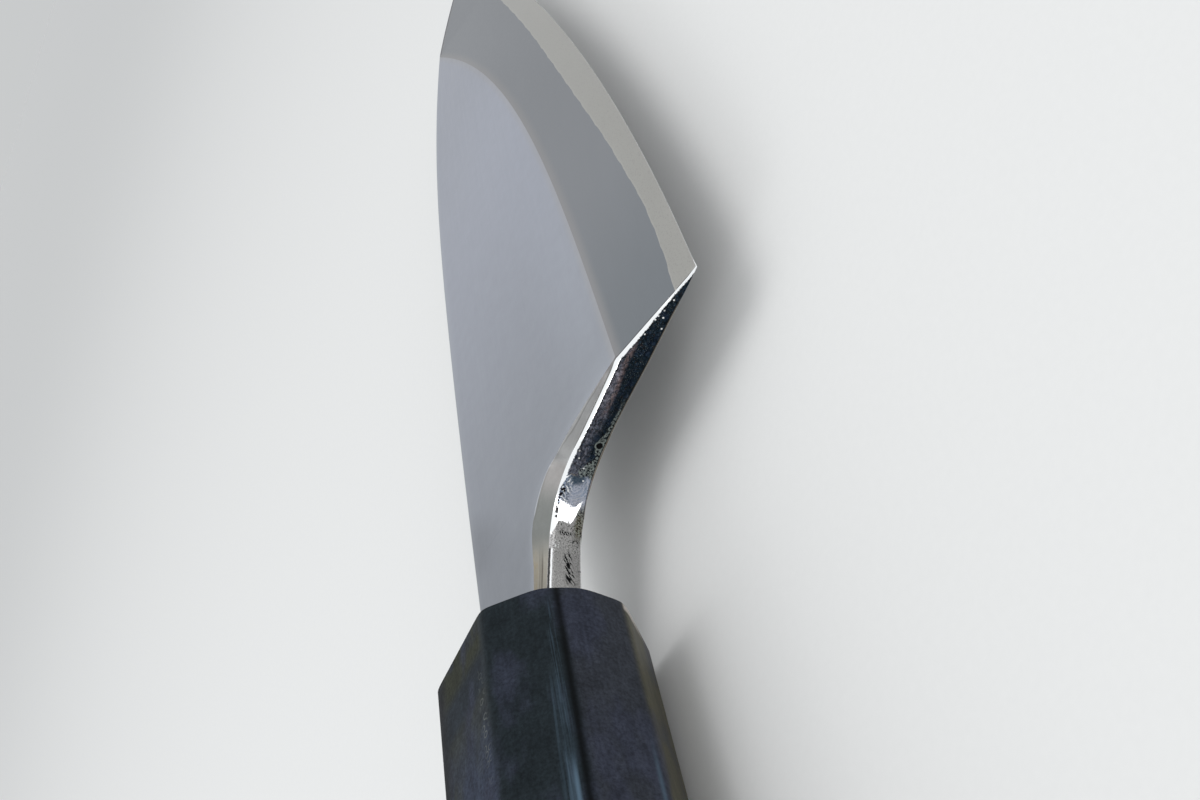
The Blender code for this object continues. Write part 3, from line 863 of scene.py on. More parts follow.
@dataclass(frozen=True)
class HornPolish(Finish):
    """Black buffalo horn with fibres along it; the olive and bluish tones of its sides are painted light and
    reflection, as are the dark line and soft glowing streaks along the ridges, the pale highlights on the
    left ridge and a cream highlight on the front rim.
    """

    fixed: ClassVar[dict[str, float]] = {"IOR": 1.46, "Specular IOR Level": 0.04}
    slanted: Colour = (0.0130, 0.0180, 0.0215)
    lower_side: Colour = (0.0270, 0.0305, 0.0390)
    olive: Colour = (0.0590, 0.0555, 0.0345)
    upper_side: Colour = (0.0260, 0.0280, 0.0200)
    upper_middle: Colour = (0.0165, 0.0215, 0.0290)
    upper_rear: Colour = (0.0300, 0.0370, 0.0560)
    slate: Colour = (0.0300, 0.0340, 0.0520)
    plain: Colour = (0.0190, 0.0200, 0.0225)
    black: Colour = (0.0012, 0.0016, 0.0018)
    glow: Colour = (0.0800, 0.1250, 0.1700)
    fleck: Colour = (0.1300, 0.1420, 0.1340)
    cream: Colour = (0.4200, 0.3850, 0.3500)

    def looks(self, g: Graph) -> Looks:
        """Base colour, roughness and normal; turn is in degrees round the handle, 90 on the bevelled side.

        Args:
            g: The material's graph.

        Returns:
            What goes to the shader.
        """
        turn = g.trait("turn")
        along = g.trait("along")
        cloud = g.grain((90.0, 190.0, 190.0))
        blotch = g.grain((300.0, 520.0, 520.0))
        fibre = g.noise(g.chart(along * 110.0, turn * 0.75), 1.0)
        strand = g.noise(g.chart(along * 160.0, turn * 1.9, 7.0), 1.0, 2.0)
        grain = g.grain(2200.0, 3.0, 0.7)
        raised = turn.rise(121.0, 115.0)
        # Painted light: each side's tone, set by its turn and its place along, stands for how it is lit and
        # what it reflects.
        upper = g.coat(
            self.upper_side,
            (along.rise(-0.0070, -0.0220) * cloud.rise(0.10, 0.48), self.upper_rear),
            (along.band(-0.0085, 0.0052).rise(0.0, 0.8) * 0.9, self.upper_middle))
        colour = g.coat(
            self.slanted,
            (turn.rise(159.0, 166.0), self.lower_side),
            (turn.rise(195.0, 201.0) * turn.rise(264.0, 250.0), self.olive),
            (raised, upper),
            (cloud.rise(0.48, 0.64) * 0.7, self.slate),
            (turn.rise(250.0, 264.0) + turn.rise(74.0, 62.0), self.plain))
        colour = g.shade(colour, (0.30 + 0.5 * fibre + 0.9 * blotch) * (0.15 + 1.7 * grain))
        from_ridge = turn - 161.5 - along * 60.0
        glow_wisps = from_ridge.band(-5.0, 3.2) * strand.rise(0.50, 0.62) * along.rise(-0.0005, -0.0050)
        haze = from_ridge.band(-6.5, 6.0) * along.rise(-0.0120, -0.0190)
        dots = g.pits(g.chart(along, turn * 0.000235), 700.0)
        ridge = (turn - 114.0).band(0.0, 4.5) * along.band(-0.0160, 0.0120)
        # Painted reflection and highlights: a dark painted reflection along the ridge, glowing wisps and haze
        # beside it, glows on the ridges towards the rear, pale highlights on the left ridge and a cream
        # highlight on the front rim.
        colour = g.coat(
            colour,
            (from_ridge.band(0.0, 3.4) * (0.7 + 0.3 * fibre), self.black),
            (glow_wisps * 0.22, self.glow),
            (haze * (0.08 + 0.40 * fibre.rise(0.4, 0.7)), self.glow),
            (from_ridge.band(-4.3, 1.7) * along.rise(-0.0245, -0.0300), self.glow),
            ((turn - 194.5).band(0.0, 2.0) * along.rise(-0.0210, -0.0290) * 0.5, self.glow),
            (dots.band(0.26, 0.10) * ridge * 0.7, self.fleck),
            (along.rise(-0.0017, -0.0010) * turn.rise(197.0, 199.5) * turn.rise(229.0, 205.0), self.cream))
        return (
            colour,
            0.34 + 0.3 * raised + 0.16 * (fibre - 0.5) + 0.12 * (cloud - 0.5),
            g.bump(0.8 * fibre + 0.2 * grain, 0.15, 0.00003))


@dataclass(frozen=True)
class EbonyGrain(Finish):
    """Dark close-grained wood of the grip: near black with brown pores along it."""

    fixed: ClassVar[dict[str, float]] = {}
    tone: Colour = (0.0110, 0.0088, 0.0075)
    vein: Colour = (0.0340, 0.0210, 0.0140)
    pore: Colour = (0.0030, 0.0025, 0.0022)

    def looks(self, g: Graph) -> Looks:
        """Base colour, roughness and normal.

        Args:
            g: The material's graph.

        Returns:
            What goes to the shader.
        """
        wave = g.grain((9.0, 60.0, 60.0), 2.0)
        vein = g.grain((22.0, 620.0, 620.0), 4.0, 0.6)
        fibre = g.grain((160.0, 3200.0, 3200.0))
        pores = g.grain((240.0, 2600.0, 2600.0), 2.0).rise(0.64, 0.70)
        colour = g.mix((vein + 0.4 * (wave - 0.5)).rise(0.50, 0.68), self.tone, self.vein)
        return (
            g.mix(pores, g.shade(colour, 0.7 + 0.6 * fibre), self.pore),
            0.42 + 0.18 * (fibre - 0.5) + 0.15 * pores,
            g.bump(0.7 * fibre - 0.9 * pores, 0.35, 0.00005))


@dataclass(frozen=True)
class PegGrain(Finish):
    """Pale straight-grained wood of the hidden dowel."""

    fixed: ClassVar[dict[str, float]] = {}
    tone: Colour = (0.520, 0.360, 0.210)
    late: Colour = (0.360, 0.220, 0.110)

    def looks(self, g: Graph) -> Looks:
        """Base colour, roughness and normal.

        Args:
            g: The material's graph.

        Returns:
            What goes to the shader.
        """
        rings = g.grain((12.0, 420.0, 420.0))
        fibre = g.grain((180.0, 3000.0, 3000.0), 2.0)
        colour = g.mix(rings.rise(0.42, 0.60), self.tone, self.late)
        return g.shade(colour, 0.85 + 0.3 * fibre), 0.62 + 0.1 * (fibre - 0.5), g.bump(fibre, 0.3, 0.00004)


@dataclass(frozen=True)
class SealResin(Finish):
    """Black resin round the neck: smooth, slightly wavy where it was smeared level."""

    fixed: ClassVar[dict[str, float]] = {}
    tone: Colour = (0.0085, 0.0080, 0.0078)

    def looks(self, g: Graph) -> Looks:
        """Base colour, roughness and normal.

        Args:
            g: The material's graph.

        Returns:
            What goes to the shader.
        """
        smear = g.grain(420.0)
        dust = g.grain(3000.0, 2.0)
        return g.shade(self.tone, 0.7 + 0.6 * dust), 0.30 + 0.2 * (smear - 0.5), g.bump(smear, 0.35, 0.00012)


@dataclass(frozen=True)
class PaleFloor(Finish):
    """Plain pale floor."""

    fixed: ClassVar[dict[str, float]] = {"Specular IOR Level": 0.2}
    tone: Colour = (0.76, 0.76, 0.75)

    def looks(self, g: Graph) -> Looks:
        """Base colour and roughness; the floor is smooth."""
        return g.shade(self.tone, 0.985 + 0.03 * g.grain(900.0, 2.0)), 0.85


def weave(rows: int, columns: int, round_rows: bool, round_columns: bool) -> Array:
    """Quads of a grid of points.

    Args:
        rows: Number of rows of points.
        columns: Number of points in a row.
        round_rows: Whether the last row joins the first.
        round_columns: Whether the last point of a row joins its first.

    Returns:
        One line of four point numbers for each quad.
    """
    high = np.arange(rows if round_rows else rows - 1)[:, None]
    wide = np.arange(columns if round_columns else columns - 1)[None, :]
    above = (high + 1) % rows
    beside = (wide + 1) % columns
    low, high = high * columns, above * columns
    return np.stack([low + wide, low + beside, high + beside, high + wide], -1).reshape(-1, 4)


@dataclass
class Skin:
    """A grid of points with what its finish needs: rings of points, one after another."""

    name: str
    rings: Array
    traits: dict[str, Array] = field(default_factory=dict)
    zones: Array | None = None
    closed: bool = False
    sharp_angle: float = 32.0

    def mesh(self, finishes: dict[Side, Material], step: Vector) -> Piece:
        """Turns the grid into a shown piece.

        Args:
            finishes: Material of each side that the zones name.
            step: Move from the handle's axes into the frame.

        Returns:
            The piece, riding on the one body.
        """
        rows, columns = self.rings.shape[:2]
        faces = weave(rows, columns, self.closed, True)
        mesh = bpy.data.meshes.new(self.name)
        points = self.rings.reshape(-1, 3) + np.array(step)
        mesh.from_pydata(points.tolist(), [], faces.tolist())
        for key, numbers in self.traits.items():
            layer = mesh.attributes.new(key, "FLOAT", "POINT")
            layer.data.foreach_set("value", numbers.reshape(-1).astype(np.float32))
        if self.zones is not None:
            slots = np.searchsorted(sorted(finishes), self.zones[:len(faces) // columns])
            mesh.polygons.foreach_set("material_index", slots.reshape(-1).astype(np.int32))
        for side in sorted(finishes):
            mesh.materials.append(finishes[side])
        shape = bmesh.new()
        shape.from_mesh(mesh)
        bmesh.ops.remove_doubles(shape, verts=shape.verts, dist=2e-7)
        bmesh.ops.dissolve_degenerate(shape, edges=shape.edges, dist=1e-8)
        bmesh.ops.recalc_face_normals(shape, faces=shape.faces)
        shape.to_mesh(mesh)
        shape.free()
        mesh.shade_smooth()
        mesh.set_sharp_from_angle(angle=np.radians(self.sharp_angle))
        piece = bpy.data.objects.new(self.name, mesh)
        bpy.context.collection.objects.link(piece)
        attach(piece, "root")
        LOG.info("%s: %d points, %d faces", self.name, len(mesh.vertices), len(mesh.polygons))
        return piece


def ease(count: int, power_low: float = 1.0, power_high: float = 1.0) -> Array:
    """Shares from 0 to 1.

    Args:
        count: How many shares.
        power_low: Above 1, the shares crowd towards 0.
        power_high: Above 1, they crowd towards 1.

    Returns:
        The shares as a row.
    """
    t = np.linspace(0, 1, count)
    return 1 - (1 - t ** power_low) ** power_high


def span(start: Array, end: Array, ways: Array) -> Array:
    """Points on straight lines between two columns of points: start + (end - start) * way."""
    return start[:, None, :] + (end - start)[:, None, :] * ways[None, :, None]


def padded(part: Array, before: int) -> Array:
    """An array with its first line put before it so many times more, and its last line once after it."""
    return np.concatenate([np.repeat(part[:1], before, 0), part, part[-1:]])


def lengths(x: Array, y: Array) -> Array:
    """Length of a path up to each of its points."""
    return np.concatenate([[0.0], np.cumsum(np.hypot(np.diff(x), np.diff(y)))])


def smooth_curve(x: Array, stations: Array, values: Array) -> Array:
    """Curve through a few values: cubic between neighbours, with slopes from the values on both sides.

    Args:
        x: Where the curve is read.
        stations: Stations of the values, rising.
        values: The values.

    Returns:
        The curve's values at x.
    """
    slopes = np.gradient(values, stations)
    k = np.clip(np.searchsorted(stations, x) - 1, 0, len(stations) - 2)
    width = stations[k + 1] - stations[k]
    t = np.clip((x - stations[k]) / width, 0, 1)
    start = (1 + 2 * t) * (1 - t) ** 2 * values[k] + t * (1 - t) ** 2 * width * slopes[k]
    end = t * t * (3 - 2 * t) * values[k + 1] + t * t * (t - 1) * width * slopes[k + 1]
    return start + end


@dataclass(frozen=True)
class BladeShape:
    """Lines and thicknesses of the whole blade, seen square to its flat back."""

    heel_x: float = 25.8 * MM
    tip_x: float = 205.6 * MM
    tip_land: float = 0.5 * MM
    heel_level: float = -45.6 * MM
    tip_level: float = -10.9 * MM
    spine_level: float = 7.6 * MM
    spine_curve_start: float = 64.7 * MM
    spine_curve_power: float = 3.5
    edge_curve_start: float = -4.0 * MM
    edge_curve_power: float = 2.0
    ridge_start_x: float = 24.7 * MM
    ridge_start_level: float = -30.6 * MM
    ridge_first_rise: float = 8.8 * MM
    ridge_end_x: float = 172.8 * MM
    neck_foot_level: float = -3.4 * MM
    neck_sag: float = 5.7 * MM
    neck_bend: float = 2.4 * MM
    neck_face: float = 5.0 * MM
    choil_dip: float = 0.8 * MM
    back_level: float = -3.7 * MM
    spine_thickness: float = 7.7 * MM
    ridge_end_thickness: float = 4.45 * MM
    spine_taper_power: float = 2.0
    bevel_thickness: float = 4.1 * MM
    plate: float = 1.0 * MM
    fold_inset: float = 0.33 * MM
    weld_corner_inset: float = 0.3 * MM
    forged_waves: tuple[Spot, ...] = ((0.05 * MM, 900), (0.03 * MM, 2100))
    strip_share: float = 0.6
    least: float = 0.01 * MM
    fan_length: float = 24.0 * MM
    tip_crowding: float = 1.25
    neck_steps: int = 90
    heel_steps: int = 26
    weld_stations: tuple[float, ...] = (
        25.0, 28.0, 32.6, 37.6, 43.2, 48.9, 55.9, 63.3, 71.2, 80.2, 89.9, 100.5, 112.0, 125.0, 150.0, 206.0)
    weld_widths: tuple[float, ...] = (
        4.02, 3.84, 3.50, 3.32, 3.20, 3.16, 3.39, 3.64, 3.85, 4.20, 4.50, 4.66, 4.72, 4.60, 4.40, 4.00)

    def spine(self, x: Array) -> Array:
        """Level of the spine: straight, then falling with a power of the way to the tip."""
        way = np.clip((x - self.spine_curve_start) / (self.tip_x - self.spine_curve_start), 0, None)
        return self.spine_level + (self.tip_level - self.spine_level) * way ** self.spine_curve_power

    def edge(self, x: Array) -> Array:
        """Level of the edge: one power curve through the heel and the tip.

        Args:
            x: Stations along the handle's axis.

        Returns:
            The levels there.
        """
        reach = self.tip_x - self.edge_curve_start
        way = np.clip((x - self.edge_curve_start) / reach, 0, None) ** self.edge_curve_power
        heel_way = ((self.heel_x - self.edge_curve_start) / reach) ** self.edge_curve_power
        return self.heel_level + (self.tip_level - self.heel_level) * (way - heel_way) / (1 - heel_way)

    def ridge_way(self, x: Array) -> Array:
        """Share of the way along the ridge."""
        return np.clip((x - self.ridge_start_x) / (self.ridge_end_x - self.ridge_start_x), 0, 1)

    def ridge(self, x: Array) -> Array:
        """Level of the ridge: a straight rise and a cubic one, then the spine itself.

        Args:
            x: Stations along the handle's axis.

        Returns:
            The levels there.
        """
        way = self.ridge_way(x)
        cubic = self.spine(np.array(self.ridge_end_x)) - self.ridge_start_level - self.ridge_first_rise
        level = self.ridge_start_level + self.ridge_first_rise * way + cubic * way ** 3
        return np.where(x > self.ridge_end_x, self.spine(x), level)

    def weld(self, x: Array) -> Array:
        """Level of the weld line on the bevel: the edge plus the strip's width with a faint forged wave.

        Args:
            x: Stations along the handle's axis.

        Returns:
            The levels there.
        """
        width = smooth_curve(x, np.array(self.weld_stations) * MM, np.array(self.weld_widths) * MM)
        for k, (height, turns) in enumerate(self.forged_waves):
            width = width + height * np.sin(x * turns + k)
        room = self.spine(x) - self.edge(x)
        return self.edge(x) + np.minimum(width, self.strip_share * room)

    def spine_height(self, x: Array) -> Array:
        """Thickness at the spine: a taper that starts slowly, then the bevel's height under the spine.

        Args:
            x: Stations along the handle's axis.

        Returns:
            The heights over the back.
        """
        way = np.clip(x / self.ridge_end_x, 0, 1) ** self.spine_taper_power
        taper = self.spine_thickness + (self.ridge_end_thickness - self.spine_thickness) * way
        end = np.array(self.ridge_end_x)
        left = (self.spine(x) - self.edge(x)) / (self.spine(end) - self.edge(end))
        return np.where(x > self.ridge_end_x, self.ridge_end_thickness * left, taper)

    def ridge_height(self, x: Array) -> Array:
        """Thickness under the ridge: steady in its change up to the ridge's end."""
        steady = self.bevel_thickness + (self.ridge_end_thickness - self.bevel_thickness) * self.ridge_way(x)
        return np.where(x > self.ridge_end_x, self.spine_height(x), steady)

    def bevel_height(self, x: Array, y: Array) -> Array:
        """Height of the flat bevel over the back: straight from the edge to the ridge."""
        return self.ridge_height(x) * (y - self.edge(x)) / (self.ridge(x) - self.edge(x))

    def flank_height(self, x: Array, y: Array) -> Array:
        """Height of the flat flank over the back: straight from the ridge to the spine."""
        way = (y - self.ridge(x)) / np.maximum(self.spine(x) - self.ridge(x), self.least)
        return self.ridge_height(x) + (self.spine_height(x) - self.ridge_height(x)) * np.clip(way, 0, 1)

    def face_height(self, y: Array) -> Array:
        """Height of the polished heel face: bevel height, then a slight waist up to the neck.

        Args:
            y: Levels down the face.

        Returns:
            The heights over the back.
        """
        foot = self.neck_foot_level
        way = np.clip((y - self.ridge_start_level) / (foot - self.ridge_start_level), 0, 1)
        rest = self.bevel_thickness + (self.neck_face - self.bevel_thickness) * way
        return rest - self.choil_dip * np.sin(np.pi * way)

    def choil(self) -> tuple[Array, Array]:
        """Neck's underside from the handle to the corner: one cubic curve.

        Returns:
            Points of the curve and its unit normals into the blade.
        """
        sag_level = self.neck_foot_level - self.neck_sag
        marks = np.array([
            (0.0, self.neck_foot_level),
            (self.ridge_start_x - self.neck_bend, sag_level),
            (self.ridge_start_x, sag_level),
            (self.ridge_start_x, self.ridge_start_level)])
        t = ease(self.neck_steps)[:, None]
        u = 1 - t
        points = u ** 3 * marks[0] + 3 * t * u ** 2 * marks[1] + 3 * t ** 2 * u * marks[2] + t ** 3 * marks[3]
        way = 3 * (u ** 2 * (marks[1] - marks[0]) + 2 * t * u * (marks[2] - marks[1]))
        way = way + 3 * t ** 2 * (marks[3] - marks[2])
        way = way / np.linalg.norm(way, axis=1)[:, None]
        return points, np.stack([-way[:, 1], way[:, 0]], 1)

    def heel_point(self, levels: Array) -> Array:
        """Points of the straight heel face at these levels."""
        way = (levels - self.ridge_start_level) / (self.heel_level - self.ridge_start_level)
        return np.stack([self.ridge_start_x + (self.heel_x - self.ridge_start_x) * way, levels], 1)

    def weld_corner(self) -> float:
        """Level at which the weld line leaves the heel face."""
        return float(self.weld(np.array([self.heel_x - self.weld_corner_inset]))[0])

    def heel_wall(self) -> Array:
        """Points down the heel face from the ridge's start, which is left out, to the weld line."""
        way = ease(self.heel_steps)[1:]
        return self.heel_point(self.ridge_start_level + (self.weld_corner() - self.ridge_start_level) * way)

    def towards_tip(self, start: float, end: float, count: int) -> Array:
        """Stations from a start, which is left out, to an end, closer together towards the end."""
        return start + (end - start) * (1 - (1 - ease(count)[1:]) ** self.tip_crowding)

    def fan(self, past_heel: Array) -> Array:
        """Share of the fan that is left at some way past the heel."""
        return np.clip(1 - past_heel / self.fan_length, 0, 1) ** 2


@dataclass
class IronBlade:
    """Soft-iron body of the blade in one piece with its neck and tang."""

    shape: BladeShape = BladeShape()
    tang_length: float = 95.0 * MM
    neck_depth: float = 5.0 * MM
    shoulder: float = 3.5 * MM
    tang_root: tuple[float, float] = (8.4 * MM, 4.2 * MM)
    tang_end: tuple[float, float] = (4.6 * MM, 3.0 * MM)
    tang_shift: float = 0.8 * MM
    tang_level: float = 3.0 * MM
    plate_start: float = 12.0 * MM
    crown_height: float = 0.65 * MM
    crown_chamfer: float = 0.18 * MM
    crown_round: float = 0.06 * MM
    crown_fade: float = 5.0 * MM
    face_swell: float = 0.15 * MM
    swell_start: float = 6.0 * MM
    shoulder_runs: tuple[float, ...] = (0.0, 8.0, 11.5, 14.5, 17.0, 20.0, 22.3, 24.2, 25.2, 26.2, 27.3, 30.0)
    shoulder_insets: tuple[float, ...] = (.15, .15, .33, .90, 1.40, 1.55, 1.42, 1.30, 1.10, .73, .38, .33)
    fan_reach: float = 2.6 * MM
    spine_easing: float = 0.45 * MM
    weld_slit: float = 0.01 * MM
    thinnest: float = 0.02 * MM
    end_width: float = 0.3 * MM
    off_face: float = 10.0 * MM
    edge_steps: int = 190
    wall_steps: int = 12
    rim_steps: int = 11
    bevel_steps: int = 30
    bevel_crowding: float = 1.4
    flank_steps: int = 34
    flank_crowding: float = 1.5
    corner_steps: int = 6
    under_steps: int = 8

    def stations(self) -> dict[str, Array]:
        """Works out every station's corner points.

        The lower corner runs along the neck's underside, down the heel face to the weld line and along
        that to the tip. The flank's lower corner runs above it, on the ridge past the neck.

        Returns:
            Columns of numbers by name, one line for each station.
        """
        s = self.shape
        choil, inward = s.choil()
        heel = s.heel_wall()
        edge_x = s.towards_tip(heel[-1, 0], self.iron_end(), self.edge_steps)
        run_x = np.concatenate([choil[:, 0], heel[:, 0], edge_x])
        run_y = np.concatenate([choil[:, 1], heel[:, 1], s.weld(edge_x)])
        run = lengths(run_x, run_y)
        normals = np.concatenate([inward, np.tile([1.0, 0.0], (len(heel) + len(edge_x), 1))])
        fan = np.concatenate([
            np.zeros(len(choil)),
            np.linspace(0, 1, len(heel) + 1)[1:],
            s.fan(edge_x - heel[-1, 0])])
        top = np.concatenate([
            s.face_height(choil[:, 1]),
            s.bevel_height(heel[:, 0] + s.fold_inset, heel[:, 1]),
            s.bevel_height(edge_x, s.weld(edge_x))])
        on_neck = np.arange(len(run_x)) < len(choil)
        on_edge = np.arange(len(run_x)) >= len(choil) + len(heel)
        shoulder = np.interp(run, np.array(self.shoulder_runs) * MM, np.array(self.shoulder_insets) * MM)
        corner_x = np.where(on_edge, run_x, s.ridge_start_x + s.fold_inset) + self.fan_reach * fan
        flank_x = np.where(on_neck, run_x + shoulder * normals[:, 0], corner_x)
        flank_y = np.where(on_neck, run_y + shoulder * normals[:, 1], s.ridge(flank_x))
        spine = s.spine(flank_x)
        flank_y = np.minimum(flank_y, spine - self.spine_easing)
        return {
            "x": run_x, "y": run_y, "nx": normals[:, 0], "ny": normals[:, 1], "top": top, "run": run,
            "crowned": np.where(on_edge, 0.0, 1.0), "neck": on_neck.astype(float),
            "flank_x": flank_x, "flank_y": flank_y, "spine_y": spine, "spine_top": s.spine_height(flank_x),
            "edge": on_edge.astype(float)}

    def iron_end(self) -> float:
        """Station near the tip where the iron has run out between the weld line and the spine.

        Returns:
            The station.
        """
        x = np.linspace(self.shape.ridge_end_x, self.shape.tip_x - self.shape.tip_land, 400)
        width = self.shape.spine(x) - self.shape.weld(x)
        return float(np.interp(-self.end_width, -width, x))

    def face(self, c: dict[str, Array], low: Array) -> tuple[Array, Array]:
        """Heel face: a wall that swells a little outwards, then the crowned rim that leans back in.

        The rim's inset at the share v of its height is chamfer * v + round * v squared.

        Args:
            c: Columns of the stations.
            low: Height at which the wall starts, over the back.

        Returns:
            The points of the wall and of the rim.
        """
        flat = self.shape.back_level
        height = np.minimum(self.crown_height, 0.5 * c["top"]) * c["crowned"]
        share = height / self.crown_height
        swell = self.face_swell * share * np.clip(c["run"] / self.swell_start - 1, 0, 1)
        last = c["run"][np.flatnonzero(c["crowned"])[-1]]
        left = np.clip((last - c["run"]) / self.crown_fade, 0, 1)
        swell *= left

        def level(inset: Array, rise: Array) -> Array:
            """Points of the face at an inset from the outline and a height over the back.

            Args:
                inset: Way in from the outline.
                rise: Height over the back.

            Returns:
                The points.
            """
            x = c["x"][:, None] + c["nx"][:, None] * inset
            y = c["y"][:, None] + c["ny"][:, None] * inset
            return np.stack([x, y, flat + rise], 2)

        shoulder = np.maximum(c["top"] - height, low)[:, None]
        u = ease(self.wall_steps)[None, :]
        wall = level(-swell[:, None] * u, low[:, None] + (shoulder - low[:, None]) * u)
        v = ease(self.rim_steps)[None, 1:]
        lean = self.crown_chamfer * v + self.crown_round * v ** 2
        inset = (share * left)[:, None] * lean - swell[:, None]
        return wall, level(inset, shoulder + (c["top"][:, None] - shoulder) * v)

    def skin(self) -> Skin:
        """Rings of the body: wall, crowned rim, bevel or shoulder, flank, eased spine and underside.

        Returns:
            The skin with its zones.
        """
        s = self.shape
        c = self.stations()
        flat = s.back_level
        neck = c["neck"][:, None] == 1
        floor = np.where(c["x"] < self.plate_start, 0.0, s.plate + self.weld_slit)
        floor = np.where((c["neck"] == 0) & (c["edge"] == 0), s.plate + self.weld_slit, floor)
        low = np.where(c["edge"] == 1, c["top"], np.minimum(floor, c["top"] - self.thinnest))
        wall, rim = self.face(c, low)
        flank_foot = np.stack([
            c["flank_x"], c["flank_y"], flat + s.flank_height(c["flank_x"], c["flank_y"])], 1)
        bevel = span(rim[:, -1], flank_foot, ease(self.bevel_steps, 1.0, self.bevel_crowding)[1:])
        bevel[:, :, 2] = np.where(neck, bevel[:, :, 2], flat + s.bevel_height(bevel[:, :, 0], bevel[:, :, 1]))
        flank_foot = bevel[:, -1]
        top = np.stack([c["flank_x"], c["spine_y"] - self.spine_easing, flat + c["spine_top"]], 1)
        top[:, 1] = np.maximum(top[:, 1], flank_foot[:, 1])
        flank = span(flank_foot, top, ease(self.flank_steps, self.flank_crowding, 1.0)[1:])
        angle = np.linspace(0, np.pi / 2, self.corner_steps)[None, 1:]
        easing = (c["spine_y"] - top[:, 1])[:, None]
        drop = np.minimum(easing, 0.45 * c["spine_top"][:, None])
        corner = np.stack([
            np.repeat(c["flank_x"][:, None], angle.shape[1], 1),
            top[:, 1][:, None] + easing * np.sin(angle),
            top[:, 2][:, None] - drop * (1 - np.cos(angle))], 2)
        under = np.stack([c["flank_x"], c["spine_y"], flat + np.minimum(floor, 0.5 * c["spine_top"])], 1)
        rest = np.concatenate([
            corner,
            span(corner[:, -1], under, ease(self.corner_steps)[1:]),
            span(under, wall[:, 0], ease(self.under_steps)[1:-1])], 1)
        rings = np.concatenate([wall, rim, bevel, flank, rest], 1)
        counts = [wall.shape[1] + rim.shape[1] - 1, bevel.shape[1], flank.shape[1], rest.shape[1] + 1]
        zone = np.repeat([Side.HEEL_FACE, Side.BEVEL, Side.FLANK, Side.PLAIN], counts)
        zone = np.where(neck & (zone == Side.BEVEL), Side.SHOULDER, zone)
        across = np.concatenate([
            np.full(counts[0], np.nan), 1 + np.linspace(0, 1, counts[1] + 1),
            np.ones(rings.shape[1] - counts[0] - counts[1] - 1)])
        whole = np.maximum(c["top"], s.least)[:, None]
        lift = rings[:, :, 2] - flat
        on_face = np.arange(rings.shape[1]) <= counts[0]
        traits = {
            "run": np.repeat(c["run"][:, None], rings.shape[1], 1),
            "rise": np.where(on_face, lift / whole, np.nan_to_num(across, nan=1.0)[None, :]),
            "drop": np.where(on_face, whole - lift, self.off_face),
            "lift": lift,
            "along": rings[:, :, 0],
            "level": rings[:, :, 1],
            "foot_gap": self.foot_gap(rings, np.stack([c["flank_x"], c["flank_y"]], 1)[c["neck"] == 1]),
            "ridge_gap": self.ridge_gap(rings[:, :, 0], rings[:, :, 1])}
        return Skin("iron_body", *self.add_tang(rings, traits, zone))

    def foot_gap(self, rings: Array, marks: Array) -> Array:
        """Distance of every point, seen square to the back, from the nearest mark on the shoulder's edge."""
        away = rings[:, :, None, :2] - marks[None, None, :, :]
        return np.hypot(away[..., 0], away[..., 1]).min(2)

    def ridge_gap(self, x: Array, y: Array) -> Array:
        """Distance from the ridge, above zero on the flank; behind its start, from its first point.

        Args:
            x: Stations along the handle's axis.
            y: Levels.

        Returns:
            The distances.
        """
        s = self.shape
        behind = np.hypot(x - s.ridge_start_x, y - s.ridge_start_level)
        return np.where(x < s.ridge_start_x, behind, y - s.ridge(x))

    def add_tang(self, rings: Array, traits: dict, zone: Array) -> tuple[Array, dict, Array]:
        """Puts the neck's hidden end, the tang and the two closing points round the blade's rings.

        A tang ring is the first ring squeezed into the tang's box: each point keeps its share of the
        ring's width and height.

        Args:
            rings: The blade's rings, the handle's front first.
            traits: Attributes to lengthen in step.
            zone: Zones to lengthen in step.

        Returns:
            The three of them, lengthened.
        """
        first = rings[0]
        low = first.min(0)
        size = np.ptp(first, 0)
        stations = [
            (-self.tang_length, 0.0, self.thinnest, self.thinnest),
            (-self.tang_length, 0.0, *self.tang_end),
            (-self.neck_depth - self.shoulder, self.tang_shift, *self.tang_root)]
        added = []
        for x, centre, width, thickness in stations:
            ring = np.empty_like(first)
            ring[:, 0] = x
            ring[:, 1] = centre + width * ((first[:, 1] - low[1]) / size[1] - 0.5)
            ring[:, 2] = self.shape.back_level + self.tang_level
            ring[:, 2] += thickness * ((first[:, 2] - low[2]) / size[2] - 0.5)
            added.append(ring)
        neck = first.copy()
        neck[:, 0] = -self.neck_depth
        added.append(neck)
        tip = np.repeat(rings[-1].mean(0)[None, :], rings.shape[1], 0)
        joined = np.concatenate([np.stack(added), rings, tip[None]])
        longer = {key: padded(part, len(added)) for key, part in traits.items()}
        longer["along"] = joined[:, :, 0]
        zone = padded(zone, len(added))
        zone[:len(added)] = Side.PLAIN
        return joined, longer, zone

    def build(self, step: Vector) -> Piece:
        """Makes the piece, in place of the CAD node.

        Args:
            step: Move from the handle's axes into the frame.

        Returns:
            The piece, riding on the one body.
        """
        piece = self.skin().mesh({
            Side.HEEL_FACE: HeelPolish().material(), Side.SHOULDER: ShoulderMatt().material(),
            Side.BEVEL: BevelHaze().material(), Side.FLANK: FlankSatin().material(),
            Side.PLAIN: ForgedBar().material()}, step)
        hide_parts("iron_blade_and_tang")
        return piece


